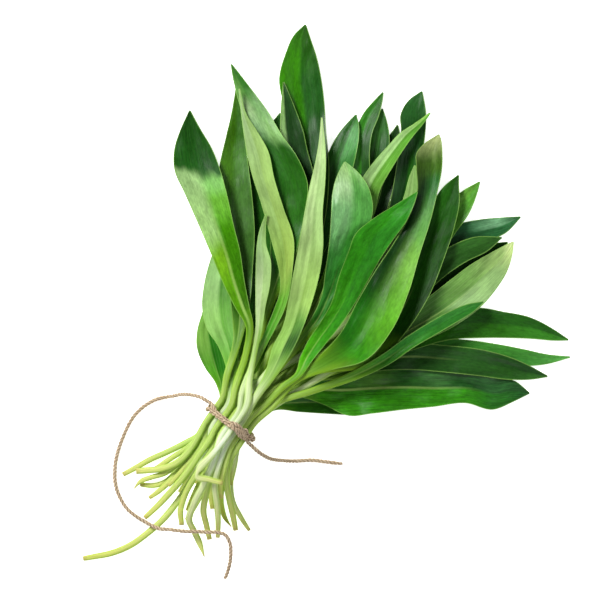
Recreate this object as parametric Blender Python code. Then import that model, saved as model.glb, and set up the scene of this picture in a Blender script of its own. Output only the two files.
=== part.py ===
"""A bunch of wild garlic leaves tied with jute twine, lying down.

Every leaf is one solid: its stalk and blade grew as one. The twine is three solids:
the tie with its knot, and the two free tails. Lengths in the tables are millimetres
from the middle of the tie, with +X to the right, +Y towards the tallest leaf tips and
+Z up; the meshes are in metres.
"""

import math

import bpy
import numpy as np

MM = 0.001

# Where the middle of the tie is, from the middle of the leaves' bounding box.
TIE_AT = (-53.1, -70.4)

# Leaves.
STALK_WIDE = 3.8
STALK_WIDE_HELD = 3.3
STALK_THICK = 2.4
BLADE_THICK = 0.65
MIDRIB_THICK = 1.1
RIM_THICK = 0.6
TIP_WIDE = 0.9
POINTED_WIDE = 1.0
POINTED_ENDS = ("leaf_pale_ribbon_left", "leaf_upper_narrow", "leaf_bottom_dark")
MORE_BLADE_STATIONS = 3
ACROSS = np.array([-1.0, -0.5, 0.0, 0.5, 1.0])

# How the leaves lie on each other.
CELL = 0.4
BLADE_GAP = 0.65
STALK_GAP = 0.35
BLADE_SAG = 0.003
STALK_SAG = 0.05
BLADE_STIFF = 0.008
STALK_STIFF = 0.08
SETTLE_ROUNDS = 60
MAP_LOW = (-92.0, -96.0)
MAP_HIGH = (198.0, 228.0)

# The tie.
TIE_MIDDLE = (-0.3, -0.5)
TIE_ALONG = (0.82, -0.572)
BUNDLE_ALONG = (0.572, 0.82)
TWINE_THICK = 2.2
HELD = 8.0
UNDER_TIE = 3.0
TIE_CLEAR = 0.4
TAIL_GAP = 0.3
TAIL_THICK = 2.2
TAIL_SAG = 0.01
TAIL_FALL = 0.05
STUB_LONG = 5.2
KNOT_ACROSS = 9.0
KNOT_WIDE = 5.4

LEAF_FACE_UP = (0.045, 0.16, 0.016, 1.0)
LEAF_FACE_UNDER = (0.33, 0.55, 0.17, 1.0)
JUTE = (0.42, 0.27, 0.15, 1.0)

# Each leaf, the bottom of the pile first: its name, the face that is up, its place across
# the tie, its stalk from the cut end to the tie, its stalk from the tie to the blade, the
# slope of its left and right half, its blade's left and right edge from base to tip, and
# its tip.
LEAVES = (
    ("leaf_left_lowest", "under", -10.6, ((-59.5, -30), (-52, -26), (-45, -22), (-35, -17.5),
      (-25, -12.5), (-17, -7.5)),
     (), (0.2, 0.25),
     ((-8, 20, -3, 18.5), (-14, 29, -4, 28), (-18.5, 40, -6, 40), (-18.5, 49, -6, 50),
      (-15.5, 60, -5, 62), (-12, 72, -4, 74)), (-8, 90)),
    ("leaf_under_left", "upper", -6.4, ((-19, -35), (-13, -18)), ((3, 20),), (0.15, 0.15),
     ((-2, 37, 11, 33), (-1, 55, 24, 52), (3, 80, 32, 78), (6, 105, 35, 104),
      (7, 130, 32, 130), (11, 149, 33, 150)), (27.5, 170)),
    ("leaf_under_centre", "upper", -2.1, ((-13, -36), (-8, -19)), ((8, 15),), (0.15, 0.15),
     ((14, 31, 28, 24), (21, 47, 38, 40), (29, 65, 44, 60), (36, 90, 57, 86), (42, 115, 64, 112),
      (47, 135, 63, 133)), (58, 152)),
    ("leaf_under_back", "upper", 2.1, ((-8, -36), (-3, -20)), ((10, 18), (26, 34)),
     (0.15, 0.1),
     ((40, 46, 46, 42), (52, 68, 66, 60), (64, 90, 82, 82), (76, 110, 92, 103)), (92, 124)),
    ("leaf_under_right", "upper", 6.4, ((-3, -36), (-1, -21)), ((18, 12),), (0.1, 0.1),
     ((31, 29, 37, 20), (44, 39, 52, 28), (60, 50, 70, 37), (76, 68, 92, 52), (90, 86, 108, 70),
      (102, 102, 118, 88)), (118, 112)),
    ("leaf_bottom_dark", "upper", 10.6, ((0.5, -59), (-3, -54), (-5, -46), (-4, -34), (1, -20)),
     ((15, 2),), (0.2, 0.1),
     ((23, 10.5, 25, 5.5), (36, 15, 38, 4.6), (52, 16, 53, 3.6), (70, 15, 70, 3),
      (90, 14, 90, 6)), (108, 11)),
    ("leaf_far_right_low", "upper", 8.5, ((0, -35), (0.8, -21)), ((20, 8), (38, 19)), (0.15, 0.1),
     ((60, 34, 62, 28), (82, 42, 84, 33), (104, 45.5, 105, 35), (126, 45, 126, 33.5),
      (146, 42.5, 144, 31.5), (162, 39.5, 160, 30), (176, 36.5, 175, 31)), (188, 35)),
    ("leaf_right_bluish", "upper", 4.25, ((-8, -34), (-3, -19)), ((16, 14), (40, 32)), (0.2, 0.1),
     ((76, 60, 82, 54), (93, 80, 101, 72), (107, 96, 116, 87), (121, 107, 129, 97),
      (137, 111, 141, 99), (150, 112.3, 153, 104)), (160.5, 112.5)),
    ("leaf_back_dark", "upper", 0.0, ((-24, -50), (-20, -41), (-15, -31), (-8, -17)),
     ((12, 16), (30, 38)), (0.15, 0.2),
     ((52, 64, 58, 60), (63, 86, 73, 82), (71, 108, 83, 104), (76, 128, 89, 124),
      (80, 142, 93.5, 139), (85.5, 154, 95, 152)), (92.5, 163.5)),
    ("leaf_back_slim", "upper", -4.25, ((-50, -35.5), (-42, -36), (-36, -34), (-29, -27),
      (-18, -14)), ((14, 22), (33, 43)), (0.25, 0.15),
     ((50, 68, 56, 65), (60, 92, 70, 89), (67, 115, 79, 112), (71.5, 132, 84, 129),
      (75, 147, 87, 144), (78, 159, 88, 157), (81, 167, 86.5, 166)), (84, 172.5)),
    ("leaf_folded_back", "upper", -8.5, ((-42, -27), (-32, -20.5), (-20, -12)),
     ((10, 18), (30, 44)), (0.7, 0.25),
     ((48, 74, 54, 71), (57, 98, 65, 95), (64, 120, 74, 118), (67.5, 137, 77, 136),
      (67.5, 150, 77, 149), (69.5, 161, 78.5, 159), (74, 170.5, 82, 168), (80, 177.5, 84, 175.5)),
     (84.5, 181.5)),
    ("leaf_centre_back", "upper", -2.1, ((-21, -48), (-17, -38), (-12.5, -28), (-8.8, -16)),
     ((12, 18), (24, 44)), (0.3, 0.3),
     ((32, 72, 38, 69), (38, 90, 49, 87), (43, 108, 58, 106), (47, 124, 64, 122),
      (51, 139, 67, 136), (55, 150, 69.5, 147), (60, 159, 71, 156.5), (65.5, 165.5, 71, 163.5)),
     (69.5, 169)),
    ("leaf_tallest", "upper", -6.4, ((-45, -43), (-40, -39.5), (-33, -33), (-26, -25), (-17, -13)),
     ((4, 20), (22, 50)), (0.3, 0.2),
     ((30, 72, 36, 70), (31, 88, 45, 86), (31, 105, 51, 104), (32, 124, 54, 124),
      (32, 142, 54.5, 142), (31, 160, 53, 160), (29, 175, 52, 176), (27, 190, 50, 191),
      (30.5, 203, 47.5, 202), (35, 213, 44.5, 211)), (41.5, 219)),
    ("leaf_upper_narrow", "upper", -10.6, ((-53.5, -38), (-50, -34), (-44, -31.5), (-36, -29),
      (-28, -23), (-18, -11.5)),
     ((0, 20), (16, 52)), (0.5, 0.2),
     ((27, 90, 35, 88), (29, 110, 44, 109), (30, 130, 47, 130), (28.5, 148, 42.5, 150),
      (27.5, 162, 40, 161), (28, 174, 36, 172)), (29.5, 187)),
    ("leaf_light_right", "upper", 2.1, ((-5, -35), (-4.5, -20)), ((15, 12), (38, 30)),
     (0.2, 0.2),
     ((70, 52, 78, 46), (90, 76, 100, 68), (103, 96, 114, 88), (112, 110, 124, 103),
      (121, 121, 132, 114.5), (130, 128, 136, 124)), (138, 132)),
    ("leaf_big_bottom", "upper", 11.0, ((10.5, -61), (6, -54), (1.5, -45), (0.3, -38), (1, -27),
      (3.5, -17)),
     ((17, 4.5), (25, 10.5)), (0.25, 0.35),
     ((34, 18, 36, 13), (47, 25, 51, 9), (60, 30.5, 64, 3), (78, 31.5, 79, 4),
      (96, 30.5, 96, 6), (114, 28, 112, 7.5), (132, 26, 130, 9.5), (148, 23.5, 146, 6),
      (158, 21.5, 157, 10.5)), (165.5, 15)),
    ("leaf_right_midribbed", "upper", 6.4, ((-3, -34), (-1.6, -20)), ((20, 10), (40, 22)), (0.2, 0.2),
     ((56, 29, 58, 23), (76, 38, 79, 27), (98, 42.5, 99, 28), (120, 41.5, 119, 26.5),
      (140, 39, 138, 24.5), (156, 34.5, 154, 22.5), (167, 29.5, 166, 22.5)), (175.5, 24.3)),
    ("leaf_right_sliver", "upper", 4.25, ((-10, -49), (-10.5, -40), (-8, -31), (-3, -18)),
      ((20, 11.5), (48, 27)), (0.1, 0.1),
     ((84, 54, 89, 49), (100, 70, 107, 62), (114, 82, 122, 73), (128, 91.5, 136, 82.5),
      (142, 97.5, 147, 90.5)), (153.5, 98.5)),
    ("leaf_far_right", "upper", 8.5, ((-7, -33), (-2, -19)), ((20, 9), (40, 21)), (0.15, 0.25),
     ((64, 34, 66, 28), (82, 43, 86, 34), (100, 51, 104, 40), (118, 58, 121, 44.5),
      (136, 62.3, 138, 45.5), (152, 60, 153, 45.5), (166, 57, 167, 45), (178, 51, 179, 44)),
     (187, 44.5)),
    ("leaf_upper_dark", "upper", -8.5, ((-34, -36), (-26, -27), (-15, -13)), ((11, 19), (38, 39)),
     (0.2, 0.3),
     ((60, 60, 66, 56), (68, 74, 77, 69), (78, 92, 88, 88), (86, 112, 99, 108),
      (90, 130, 104, 128), (92.5, 146, 106, 145), (94.3, 160, 108, 160), (94.3, 170, 108.3, 170),
      (99, 177.5, 107.3, 177)), (106, 182)),
    ("leaf_pale_tip", "under", -4.25, ((-28, -40), (-20, -28), (-11, -14)), ((8, 16), (42, 38)),
     (0.2, 0.2),
     ((72, 66, 77, 62), (84, 92, 91, 88), (92, 112, 100, 109), (96.5, 126, 104.5, 124.5),
      (99, 135, 104, 134)), (102, 141)),
    ("leaf_right_narrow", "upper", 0.0, ((-14, -35), (-7, -19)), ((20, 15), (50, 33)), (0.2, 0.2),
     ((80, 56, 86, 50), (96, 74, 104, 66), (108, 87, 117, 78.5), (122, 96.5, 130, 87.5),
      (136, 101.5, 142, 93.5)), (150, 101)),
    ("leaf_big_pale_right", "under", 10.6, ((0, -35), (3, -20)), ((22, 7), (46, 22)), (0.15, 0.2),
     ((68, 40, 72, 33), (84, 51, 92, 38), (100, 61.5, 111, 46), (112, 70.5, 125, 53),
      (123, 79, 138, 62.5), (134, 87, 148, 74), (145, 93.3, 153.8, 84), (152, 97, 156, 92)),
     (156.5, 98.8)),
    ("leaf_dark_channelled", "upper", 6.4, ((-9, -34), (-3, -19)), ((20, 14), (46, 27)), (0.3, 0.3),
     ((74, 38, 81, 32), (82, 55, 96, 48), (90, 73, 109, 68), (98, 91, 118, 90),
      (106, 108, 123.7, 107), (112, 121, 126.5, 121), (118, 129.5, 126.3, 129.5)), (126, 135.5)),
    ("leaf_left_pale", "under", -6.2, ((-81.5, -76.5), (-76, -75.5), (-66, -73.5), (-56, -69.5),
      (-46, -62.5), (-37, -54.5),
      (-29, -44.5), (-22, -34), (-16, -24), (-11, -13)), (), (0.2, 0.2),
     ((-1.5, 26, 3.5, 25), (-6.5, 41, 5, 40), (-13, 51, 4, 52), (-15.5, 62, 3, 63),
      (-14.5, 75, 3, 76), (-11, 89, 4, 90), (-6, 102, 5, 103)), (0, 118)),
    ("leaf_left_tall", "upper", -10.6, ((-52, -28), (-46, -27.5), (-38, -26.5), (-30, -23.5),
      (-23, -17), (-17, -7.5)),
     ((-1.5, 25),), (0.3, 0.35),
     ((1.5, 44, 6.5, 44), (0.5, 64, 10.8, 64), (-2, 85, 12.5, 85), (-5, 105, 13.5, 105),
      (-7, 122, 12.3, 122), (-6, 141, 10, 141), (-2.5, 157, 8, 157), (0.5, 170, 6.3, 170),
      (2.2, 180, 4.8, 180)), (4, 190)),
    ("leaf_upper_left", "upper", -2.1, ((-27, -58), (-27.5, -50), (-25, -41), (-19, -30), (-10, -15)),
     ((8, 22), (16, 46)), (0.25, 0.3),
     ((20, 70, 26, 68), (22, 85, 34, 84), (22, 100, 38.5, 101), (21, 116, 41.5, 116),
      (19, 131, 42.8, 130), (15, 146, 36.5, 146), (11, 158, 28.5, 157.5), (6.5, 170, 20.5, 171),
      (3, 182, 11, 184), (1, 191, 4.5, 192.5)), (0.5, 197)),
    ("leaf_pale_ribbon_upper", "under", 2.1, ((-24, -55), (-19, -46), (-14, -37), (-9, -27),
      (-4, -14)), ((14, 18), (30, 38)), (0.3, 0.3),
     ((44, 58, 50, 55), (54, 80, 64, 76), (62, 102, 74, 98), (68, 120, 80, 116),
      (72.5, 133, 83, 128), (79, 142.5, 88.5, 138), (86.5, 151, 95, 148.5), (94, 159, 101, 157),
      (103, 165, 106, 163)), (110.5, 170)),
    ("leaf_bright_strip", "upper", 8.5, ((-3, -35), (1, -20)), ((22, 9), (46, 17)), (0.25, 0.25),
     ((66, 27, 69, 22.5), (84, 37, 88, 31.5), (97, 46.5, 101, 40.5), (109, 54, 113, 47.5),
      (121, 60.5, 125, 54.5), (131, 64.5, 134, 60)), (139.5, 65.5)),
    ("leaf_big_curved", "upper", 11.6, ((3, -61), (1.5, -52), (0, -44), (-1.5, -34), (-1, -24)),
     ((22, 7), (37, 23)), (0.35, 0.45),
     ((49, 36, 55, 28), (61, 49, 74, 33.5), (70, 66, 88, 49), (80, 83, 98, 71),
      (90, 98, 104, 91), (98, 112, 110.5, 111), (103, 127, 114.5, 127), (102.5, 140, 117, 140),
      (103.5, 149, 117, 151), (109, 154.5, 116.5, 155.5)), (115.5, 158)),
    ("leaf_glossy_centre", "upper", 0.0, ((-11.5, -66), (-13, -58), (-14.5, -50), (-13, -40),
      (-10, -28), (-7, -16)),
     ((16, 16), (30, 33)), (0.2, 0.2),
     ((40, 50, 45, 47), (45.5, 58, 52, 56), (50.3, 69, 58, 68), (52.3, 82, 65, 82),
      (54.5, 98, 70.5, 97), (55.5, 112, 77.5, 110), (56.3, 125, 78, 122), (58.5, 134, 73.5, 133),
      (61, 139.5, 68, 139)), (63, 142.5)),
    ("leaf_big_bright", "upper", 8.2, ((-4.5, -42), (-5, -35), (-3, -26)),
     ((18, 8), (29, 19)), (0.25, 0.2),
     ((36, 27, 39.5, 25), (38.5, 35, 45, 33), (43, 44.5, 53, 43), (50, 55, 61, 53),
      (56, 66, 69, 65), (60, 80, 76.5, 78), (65, 93, 83, 89.5), (69, 103, 90, 100),
      (79, 111.5, 96.5, 109), (91, 119, 101, 118.5)), (103, 126)),
    ("leaf_left_outer", "upper", -4.2, ((-47.5, -54), (-40, -47), (-33, -39.5), (-25, -30),
      (-18, -20), (-10, -8)),
     ((3, 18), (9, 38)), (0.15, 0.2),
     ((8.5, 52, 13, 52), (3, 62, 10.5, 64), (-3, 74, 8, 77), (-10.5, 92, 5.5, 94),
      (-17, 107, 2.5, 106), (-25, 125, -2, 126), (-31, 139, -6, 140), (-31, 150, -10.5, 151),
      (-28, 160, -17, 162)), (-22.5, 171.5)),
    ("leaf_pale_ribbon_long", "under", 5.6, ((-7, -65), (-6.5, -55), (-7, -45), (-8, -34), (-6, -24)),
     ((13, 11),), (0.3, 0.3),
     ((19.5, 27.5, 26, 25.5), (24, 42, 35.5, 41), (29, 52, 40, 51), (32, 65, 45, 65),
      (34.8, 81, 49.5, 82), (38, 98, 51.3, 97), (41, 115, 51, 115), (44, 130, 52.3, 130),
      (47, 143, 52.8, 143), (49, 155, 52.2, 155)), (50.5, 167)),
    ("leaf_pale_ribbon_left", "under", 0.9, ((-14.5, -75.5), (-17, -68), (-20, -61), (-22.5, -55),
      (-20, -46), (-14, -34), (-8, -20)),
     ((7, 16), (12, 29)), (0.3, 0.3),
     ((14, 38, 18, 37), (19.5, 50, 24, 49), (24, 61, 29.5, 60), (27.5, 72, 33, 72),
      (27, 82, 34.5, 84), (23, 98, 35.2, 99), (17, 120, 29.5, 117), (12.5, 134, 24.5, 133),
      (9.5, 146, 21, 148.5), (7.5, 158, 15.5, 158.5), (6, 169, 9, 169)), (5, 183)),
    ("leaf_narrow_on_top", "under", 3.2, ((-3.5, -33), (-11, -31), (-17.5, -29), (-16.5, -25.8),
      (-10, -18.5)),
     ((9, 8), (11, 24)), (0.35, 0.35),
     ((12.5, 40, 15.5, 39.5), (14, 50, 17.5, 49.5), (14, 63, 19.5, 62.5), (14, 78, 22.3, 77),
      (14.3, 88, 22.5, 88), (14.8, 97, 20, 97), (16, 104, 19.8, 104)), (20, 114)),
)

# The free tails of the twine, from the tie outwards, as seen from above.
LONG_TAIL = (
    (-11.7, 10.9), (-14.6, 12.8), (-19, 14.1), (-25, 14.8), (-33, 13.3), (-40, 12), (-46, 9), (-51, 5),
    (-55, 0), (-58, -6), (-60.5, -12), (-63, -20), (-64, -28), (-63.5, -36), (-61, -43), (-57, -49),
    (-52, -53), (-46, -56.5), (-40, -59.5), (-33, -60), (-25, -61), (-18, -61), (-10, -61.5),
    (-5, -61.5), (-1.5, -64), (0, -68), (0.3, -74), (-1, -82), (-3, -87.5),
)
SHORT_TAIL = (
    (11.3, -12.3), (13.5, -14.4), (17, -17.5), (22, -20.5), (28, -21.8), (36, -22.5), (45, -22),
    (53, -23),
    (62, -24),
)


def smooth(knots, values, at):
    """Values at the places `at`, on a curve through the knots with a continuous slope."""
    knots, values, at = (np.asarray(v, float) for v in (knots, values, at))
    step = np.diff(knots)
    rate = np.diff(values, axis=0) / step.reshape((-1,) + (1,) * (values.ndim - 1))
    weight = (step[:-1] / (step[:-1] + step[1:])).reshape((-1,) + (1,) * (values.ndim - 1))
    inner = rate[:-1] * (1 - weight) + rate[1:] * weight
    slope = np.concatenate([rate[:1], inner, rate[-1:]])
    i = np.clip(np.searchsorted(knots, at, side="right") - 1, 0, len(step) - 1)
    shape = (-1,) + (1,) * (values.ndim - 1)
    h = step[i].reshape(shape)
    t = ((at - knots[i]) / step[i]).reshape(shape)
    return (
        values[i] * (1 + 2 * t) * (1 - t) ** 2
        + values[i + 1] * t * t * (3 - 2 * t)
        + slope[i] * h * t * (1 - t) ** 2
        - slope[i + 1] * h * t * t * (1 - t)
    )


def tie_point(across):
    """Where a stalk at this place across the bundle passes the tie."""
    return (TIE_MIDDLE[0] + TIE_ALONG[0] * across, TIE_MIDDLE[1] + TIE_ALONG[1] * across)


def chord(points):
    """The length along a line of points, from its first."""
    steps = np.linalg.norm(np.diff(points, axis=0), axis=1)
    return np.concatenate([[0.0], np.cumsum(steps)])


def left_of(points):
    """The unit vector to the left of a line of points, at each of them."""
    ahead = np.gradient(points, axis=0)
    ahead /= np.linalg.norm(ahead, axis=1, keepdims=True)
    return np.stack([-ahead[:, 1], ahead[:, 0]], axis=1)


def leaf_outline(leaf):
    """(lengths along the leaf, its left edge, its right edge, how much it is blade)."""
    _, _, across, below, above, _, blade, tip = leaf
    tie = np.array(tie_point(across))
    straight = [tie + step * np.array(BUNDLE_ALONG) for step in (-HELD, 0, HELD)]
    stalk = np.array([*below, *straight, *above], float)
    rows = np.array(blade, float)
    middle = np.concatenate([stalk, (rows[:, :2] + rows[:, 2:]) / 2, [tip]])
    side = left_of(middle)
    wide = np.full(len(middle), STALK_WIDE / 2)
    wide[len(below):len(below) + 3] = STALK_WIDE_HELD / 2
    wide[-1] = TIP_WIDE / 2
    if leaf[0] in POINTED_ENDS:
        wide[0] = POINTED_WIDE / 2
    left, right = middle + side * wide[:, None], middle - side * wide[:, None]
    left[len(stalk):-1], right[len(stalk):-1] = rows[:, :2], rows[:, 2:]
    is_blade = np.ones(len(middle))
    is_blade[:len(stalk)] = 0
    is_blade[len(stalk)] = 0.35
    return chord(middle), left, right, is_blade


def leaf_stations(leaf, along):
    """Lengths along the leaf where its solid has a section: close together at the tie, and
    closer towards the tip."""
    tie, base = along[len(leaf[3]) + 1], along[len(leaf[3]) + len(leaf[4]) + 3]
    below = np.linspace(0, tie - HELD, max(2, round(tie / 14)), endpoint=False)
    above = np.linspace(tie + HELD, base, max(1, round((base - tie) / 14)), endpoint=False)
    t = np.linspace(0, 1, len(leaf[6]) + MORE_BLADE_STATIONS)
    blade = base + (along[-1] - base) * (1 - (1 - t) ** 1.25)
    return np.concatenate([below, [tie - HELD, tie], above, blade])


def leaf_grid(leaf, at, across=ACROSS):
    """The leaf before it is laid down: plan points, and heights of its top and underside
    above its midrib, each as stations by points across."""
    along, left, right, is_blade = leaf_outline(leaf)
    l, r = smooth(along, left, at), smooth(along, right, at)
    blade = np.clip(smooth(along, is_blade, at), 0, 1)[:, None]
    middle = (l + r) / 2
    half = np.linalg.norm(l - r, axis=1)[:, None] / 2
    u = across[None, :]
    plan = middle[:, None] + (l - middle)[:, None] * u[..., None]
    base = along[len(leaf[3]) + len(leaf[4]) + 3]
    toward_tip = np.clip((at - base) / (along[-1] - base), 0, 1)[:, None]
    slope = np.where(u > 0, leaf[5][0], leaf[5][1]) * blade * (1.1 - 0.7 * toward_tip)
    rise = slope * half * np.abs(u) ** 1.3
    steep = np.sqrt(1 + (1.3 * slope) ** 2)
    round_ = np.sqrt(np.clip(1 - u * u, 0, 1))
    fullness = np.clip(half / (STALK_WIDE_HELD / 2), 0.3, 1)
    stalk_thick = RIM_THICK + (STALK_THICK - RIM_THICK) * round_ * fullness
    rib = np.exp(-((u * half / 1.6) ** 2))
    blade_thick = BLADE_THICK + (MIDRIB_THICK - BLADE_THICK) * rib
    thick = (stalk_thick * (1 - blade) + blade_thick * blade) * steep
    return plan, rise + thick / 2, rise - thick / 2, u * half, blade[:, 0]


class Pile:
    """The top of everything laid so far, as heights over a grid of square cells."""

    def __init__(self):
        self.low = np.array(MAP_LOW)
        size = np.ceil((np.array(MAP_HIGH) - self.low) / CELL).astype(int)
        x, y = (self.low[k] + (np.arange(size[k]) + 0.5) * CELL for k in (0, 1))
        dx, dy = x[:, None] - TIE_MIDDLE[0], y[None, :] - TIE_MIDDLE[1]
        along = np.abs(dx * BUNDLE_ALONG[0] + dy * BUNDLE_ALONG[1])
        across = np.abs(dx * TIE_ALONG[0] + dy * TIE_ALONG[1])
        self.height = np.where((along < 4) & (across < 14), UNDER_TIE - STALK_GAP, 0.0)

    def cell(self, plan):
        i = ((plan - self.low) / CELL).astype(int)
        limit = np.array(self.height.shape) - 1
        i = np.clip(i, 0, limit)
        return i[..., 0], i[..., 1]

    def support(self, plan, gap):
        """The lowest height that a surface at these plan points may have."""
        top = self.height[self.cell(plan)]
        return np.where(top > 0, top + gap, 0.0)

    def add(self, plan, top):
        np.maximum.at(self.height, self.cell(plan), top)


def between(values, times):
    """Each station's values, with `times` - 1 more rows in each gap, on straight lines."""
    values = np.asarray(values, float)
    at = np.arange((len(values) - 1) * times + 1) / times
    i = np.minimum(at.astype(int), len(values) - 2)
    t = (at - i).reshape((-1,) + (1,) * (values.ndim - 1))
    return values[i] * (1 - t) + values[i + 1] * t


def blurred(values, reach):
    """Values smoothed over about `reach` neighbours each way."""
    k = np.exp(-0.5 * (np.arange(-2 * reach, 2 * reach + 1) / reach) ** 2)
    padded = np.pad(values, 2 * reach, mode="edge")
    return np.convolve(padded, k / k.sum(), mode="valid")


def finer(values, times):
    """The same on straight lines across the leaf, between its points across."""
    return np.moveaxis(between(np.moveaxis(values, 1, 0), times), 0, 1)


def settle(need, at, times, sag, stiff):
    """The lowest height of the midrib at each station that keeps the straight lines between
    them above what is needed, and bends down or up no more sharply than the leaf can."""
    away = at[:, None] - between(at, times)[None, :]
    height = (need[None, :] - between(sag, times) * away**2).max(axis=1)
    part_way = np.arange(times + 1) / times
    spans = np.stack([need[j * times:(j + 1) * times + 1] for j in range(len(at) - 1)])
    for _ in range(SETTLE_ROUNDS):
        line = height[:-1, None] * (1 - part_way) + height[1:, None] * part_way
        worst = (spans - line).argmax(axis=1)
        lack = np.maximum((spans - line)[np.arange(len(worst)), worst], 0)
        share = part_way[worst]
        lack /= (1 - share) ** 2 + share**2
        lift = np.append(lack * (1 - share), 0)
        lift[1:] = np.maximum(lift[1:], lack * share)
        height += lift
    before, after = at[1:-1] - at[:-2], at[2:] - at[1:-1]
    for _ in range(SETTLE_ROUNDS):
        level = (height[:-2] * after + height[2:] * before) / (before + after)
        height[1:-1] = np.maximum(height[1:-1], level - stiff * before * after / 2)
    return height


def lay(pile, at, plan, top, under, aside, blade):
    """Lays a section-by-section shape on the pile. It gives the midrib's height and the
    sideways tilt at each station."""
    times, over = 16, 12
    fine = [finer(between(v, times), over) for v in (plan, top, under, aside)]
    gap = between(STALK_GAP + (BLADE_GAP - STALK_GAP) * blade, times)[:, None]
    need = pile.support(fine[0], gap) - fine[2]
    tilts = np.linspace(-0.45, 0.45, 13)
    wanted = np.stack([(need - t * fine[3]).max(axis=1) for t in tilts])
    cost = wanted + 0.5 * np.abs(tilts)[:, None]
    tilt = blurred(tilts[cost.argmin(axis=0)], 16)[::times] * np.clip(blade * 2, 0, 1)
    need = (need - finer(between(tilt[:, None] * aside, times), over)).max(axis=1)
    sag = STALK_SAG + (BLADE_SAG - STALK_SAG) * blade
    stiff = STALK_STIFF + (BLADE_STIFF - STALK_STIFF) * blade
    middle = settle(need, at, times, sag, stiff[1:-1])
    lift = middle[:, None] + tilt[:, None] * aside
    pile.add(fine[0], fine[1] + finer(between(lift, times), over))
    return lift


def leaf_rings(leaf, pile):
    """The rings of points round one leaf, laid on the pile, in millimetres from the tie."""
    at = leaf_stations(leaf, leaf_outline(leaf)[0])
    plan, top, under, aside, blade = leaf_grid(leaf, at)
    lift = lay(pile, at, plan, top, under, aside, blade)
    upper = np.concatenate([plan, (lift + top)[..., None]], axis=2)
    lower = np.concatenate([plan, (lift + under)[..., None]], axis=2)
    return np.concatenate([upper, lower[:, ::-1]], axis=1)


def closed_tube(rings):
    """Vertices and triangles of a tube through rings of points, closed at both ends."""
    rows, n = rings.shape[:2]
    faces = []
    for i in range(rows - 1):
        for j in range(n):
            a, b = i * n + j, i * n + (j + 1) % n
            c, d = a + n, b + n
            faces += [(a, d, b), (a, c, d)] if j < n / 2 else [(a, c, b), (b, c, d)]
    half = n // 2
    last = (rows - 1) * n
    for j in range(half - 1):
        a, b, c, d = j, j + 1, n - 2 - j, n - 1 - j
        faces += [(a, b, c), (a, c, d)]
        faces += [(last + a, last + c, last + b), (last + a, last + d, last + c)]
    return rings.reshape(-1, 3), faces


def material(name, colour, roughness):
    found = bpy.data.materials.new(name)
    found.use_nodes = True
    shader = found.node_tree.nodes["Principled BSDF"]
    shader.inputs["Base Color"].default_value = colour
    shader.inputs["Roughness"].default_value = roughness
    return found


def placed(points):
    """Points in the part's frame and in metres, from millimetres from the tie."""
    return (np.asarray(points, float) + (TIE_AT[0], TIE_AT[1], 0)) * MM


def mesh_object(name, points, faces, look):
    mesh = bpy.data.meshes.new(name)
    mesh.from_pydata(placed(points).tolist(), [], [tuple(f) for f in faces])
    mesh.materials.append(look)
    obj = bpy.data.objects.new(name, mesh)
    bpy.context.scene.collection.objects.link(obj)
    return obj


def clear_scene():
    for obj in list(bpy.data.objects):
        bpy.data.objects.remove(obj, do_unlink=True)


def tube(points, radius, closed=False, sides=8):
    """Vertices and faces of a round tube along points, as a ring or with two flat ends."""
    points = np.asarray(points, float)
    if closed:
        ahead = np.roll(points, -1, axis=0) - np.roll(points, 1, axis=0)
    else:
        ahead = np.gradient(points, axis=0)
    ahead /= np.linalg.norm(ahead, axis=1, keepdims=True)
    first = np.cross(ahead, (0.31, 0.17, 0.93))
    first /= np.linalg.norm(first, axis=1, keepdims=True)
    for i in range(1, len(points)):
        side = first[i - 1] - ahead[i] * (first[i - 1] @ ahead[i])
        first[i] = side / np.linalg.norm(side)
    other = np.cross(ahead, first)
    turn = np.arange(sides) * math.tau / sides
    if closed:
        slip = math.atan2(first[-1] @ other[0], first[-1] @ first[0])
        untwist = -slip * np.arange(len(points)) / len(points)
    else:
        untwist = np.zeros(len(points))
    angle = turn[None, :] + untwist[:, None]
    rings = points[:, None] + radius * (
        np.cos(angle)[..., None] * first[:, None] + np.sin(angle)[..., None] * other[:, None]
    )
    rows = len(points)
    faces = []
    for i in range(rows if closed else rows - 1):
        for j in range(sides):
            a, b = i * sides + j, i * sides + (j + 1) % sides
            c, d = (i + 1) % rows * sides + j, (i + 1) % rows * sides + (j + 1) % sides
            faces.append((a, b, d, c))
    if not closed:
        faces.append(tuple(range(sides))[::-1])
        faces.append(tuple((rows - 1) * sides + j for j in range(sides)))
    return rings.reshape(-1, 3), faces


def resampled(points, step, closed=False):
    """The same line with its points this far apart."""
    points = np.asarray(points, float)
    if closed:
        points = np.concatenate([points, points[:1]])
    along = chord(points)
    count = max(2, round(along[-1] / step)) + 1
    at = np.linspace(0, along[-1], count)[: -1 if closed else None]
    return np.stack([np.interp(at, along, points[:, k]) for k in range(points.shape[1])], axis=1)


def bundle_section(rings):
    """The stalks where the tie goes round them, as points (across, height)."""
    found = []
    for ring in rings:
        points = between(ring, 12).reshape(-1, 3)
        dx, dy = points[:, 0] - TIE_MIDDLE[0], points[:, 1] - TIE_MIDDLE[1]
        near = np.abs(dx * BUNDLE_ALONG[0] + dy * BUNDLE_ALONG[1]) < 3.4
        across = dx * TIE_ALONG[0] + dy * TIE_ALONG[1]
        found.append(np.stack([across, points[:, 2]], axis=1)[near & (np.abs(across) < 18)])
    return np.concatenate(found)


def round_the_bundle(section, away):
    """A closed line round the stalks at this distance, as points (across, height)."""
    angle = np.arange(180) * math.tau / 180
    out = np.stack([np.cos(angle), np.sin(angle)], axis=1)
    touch = section[(section @ out.T).argmax(axis=0)]
    return resampled(touch + out * away, 1.0, closed=True)


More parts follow.
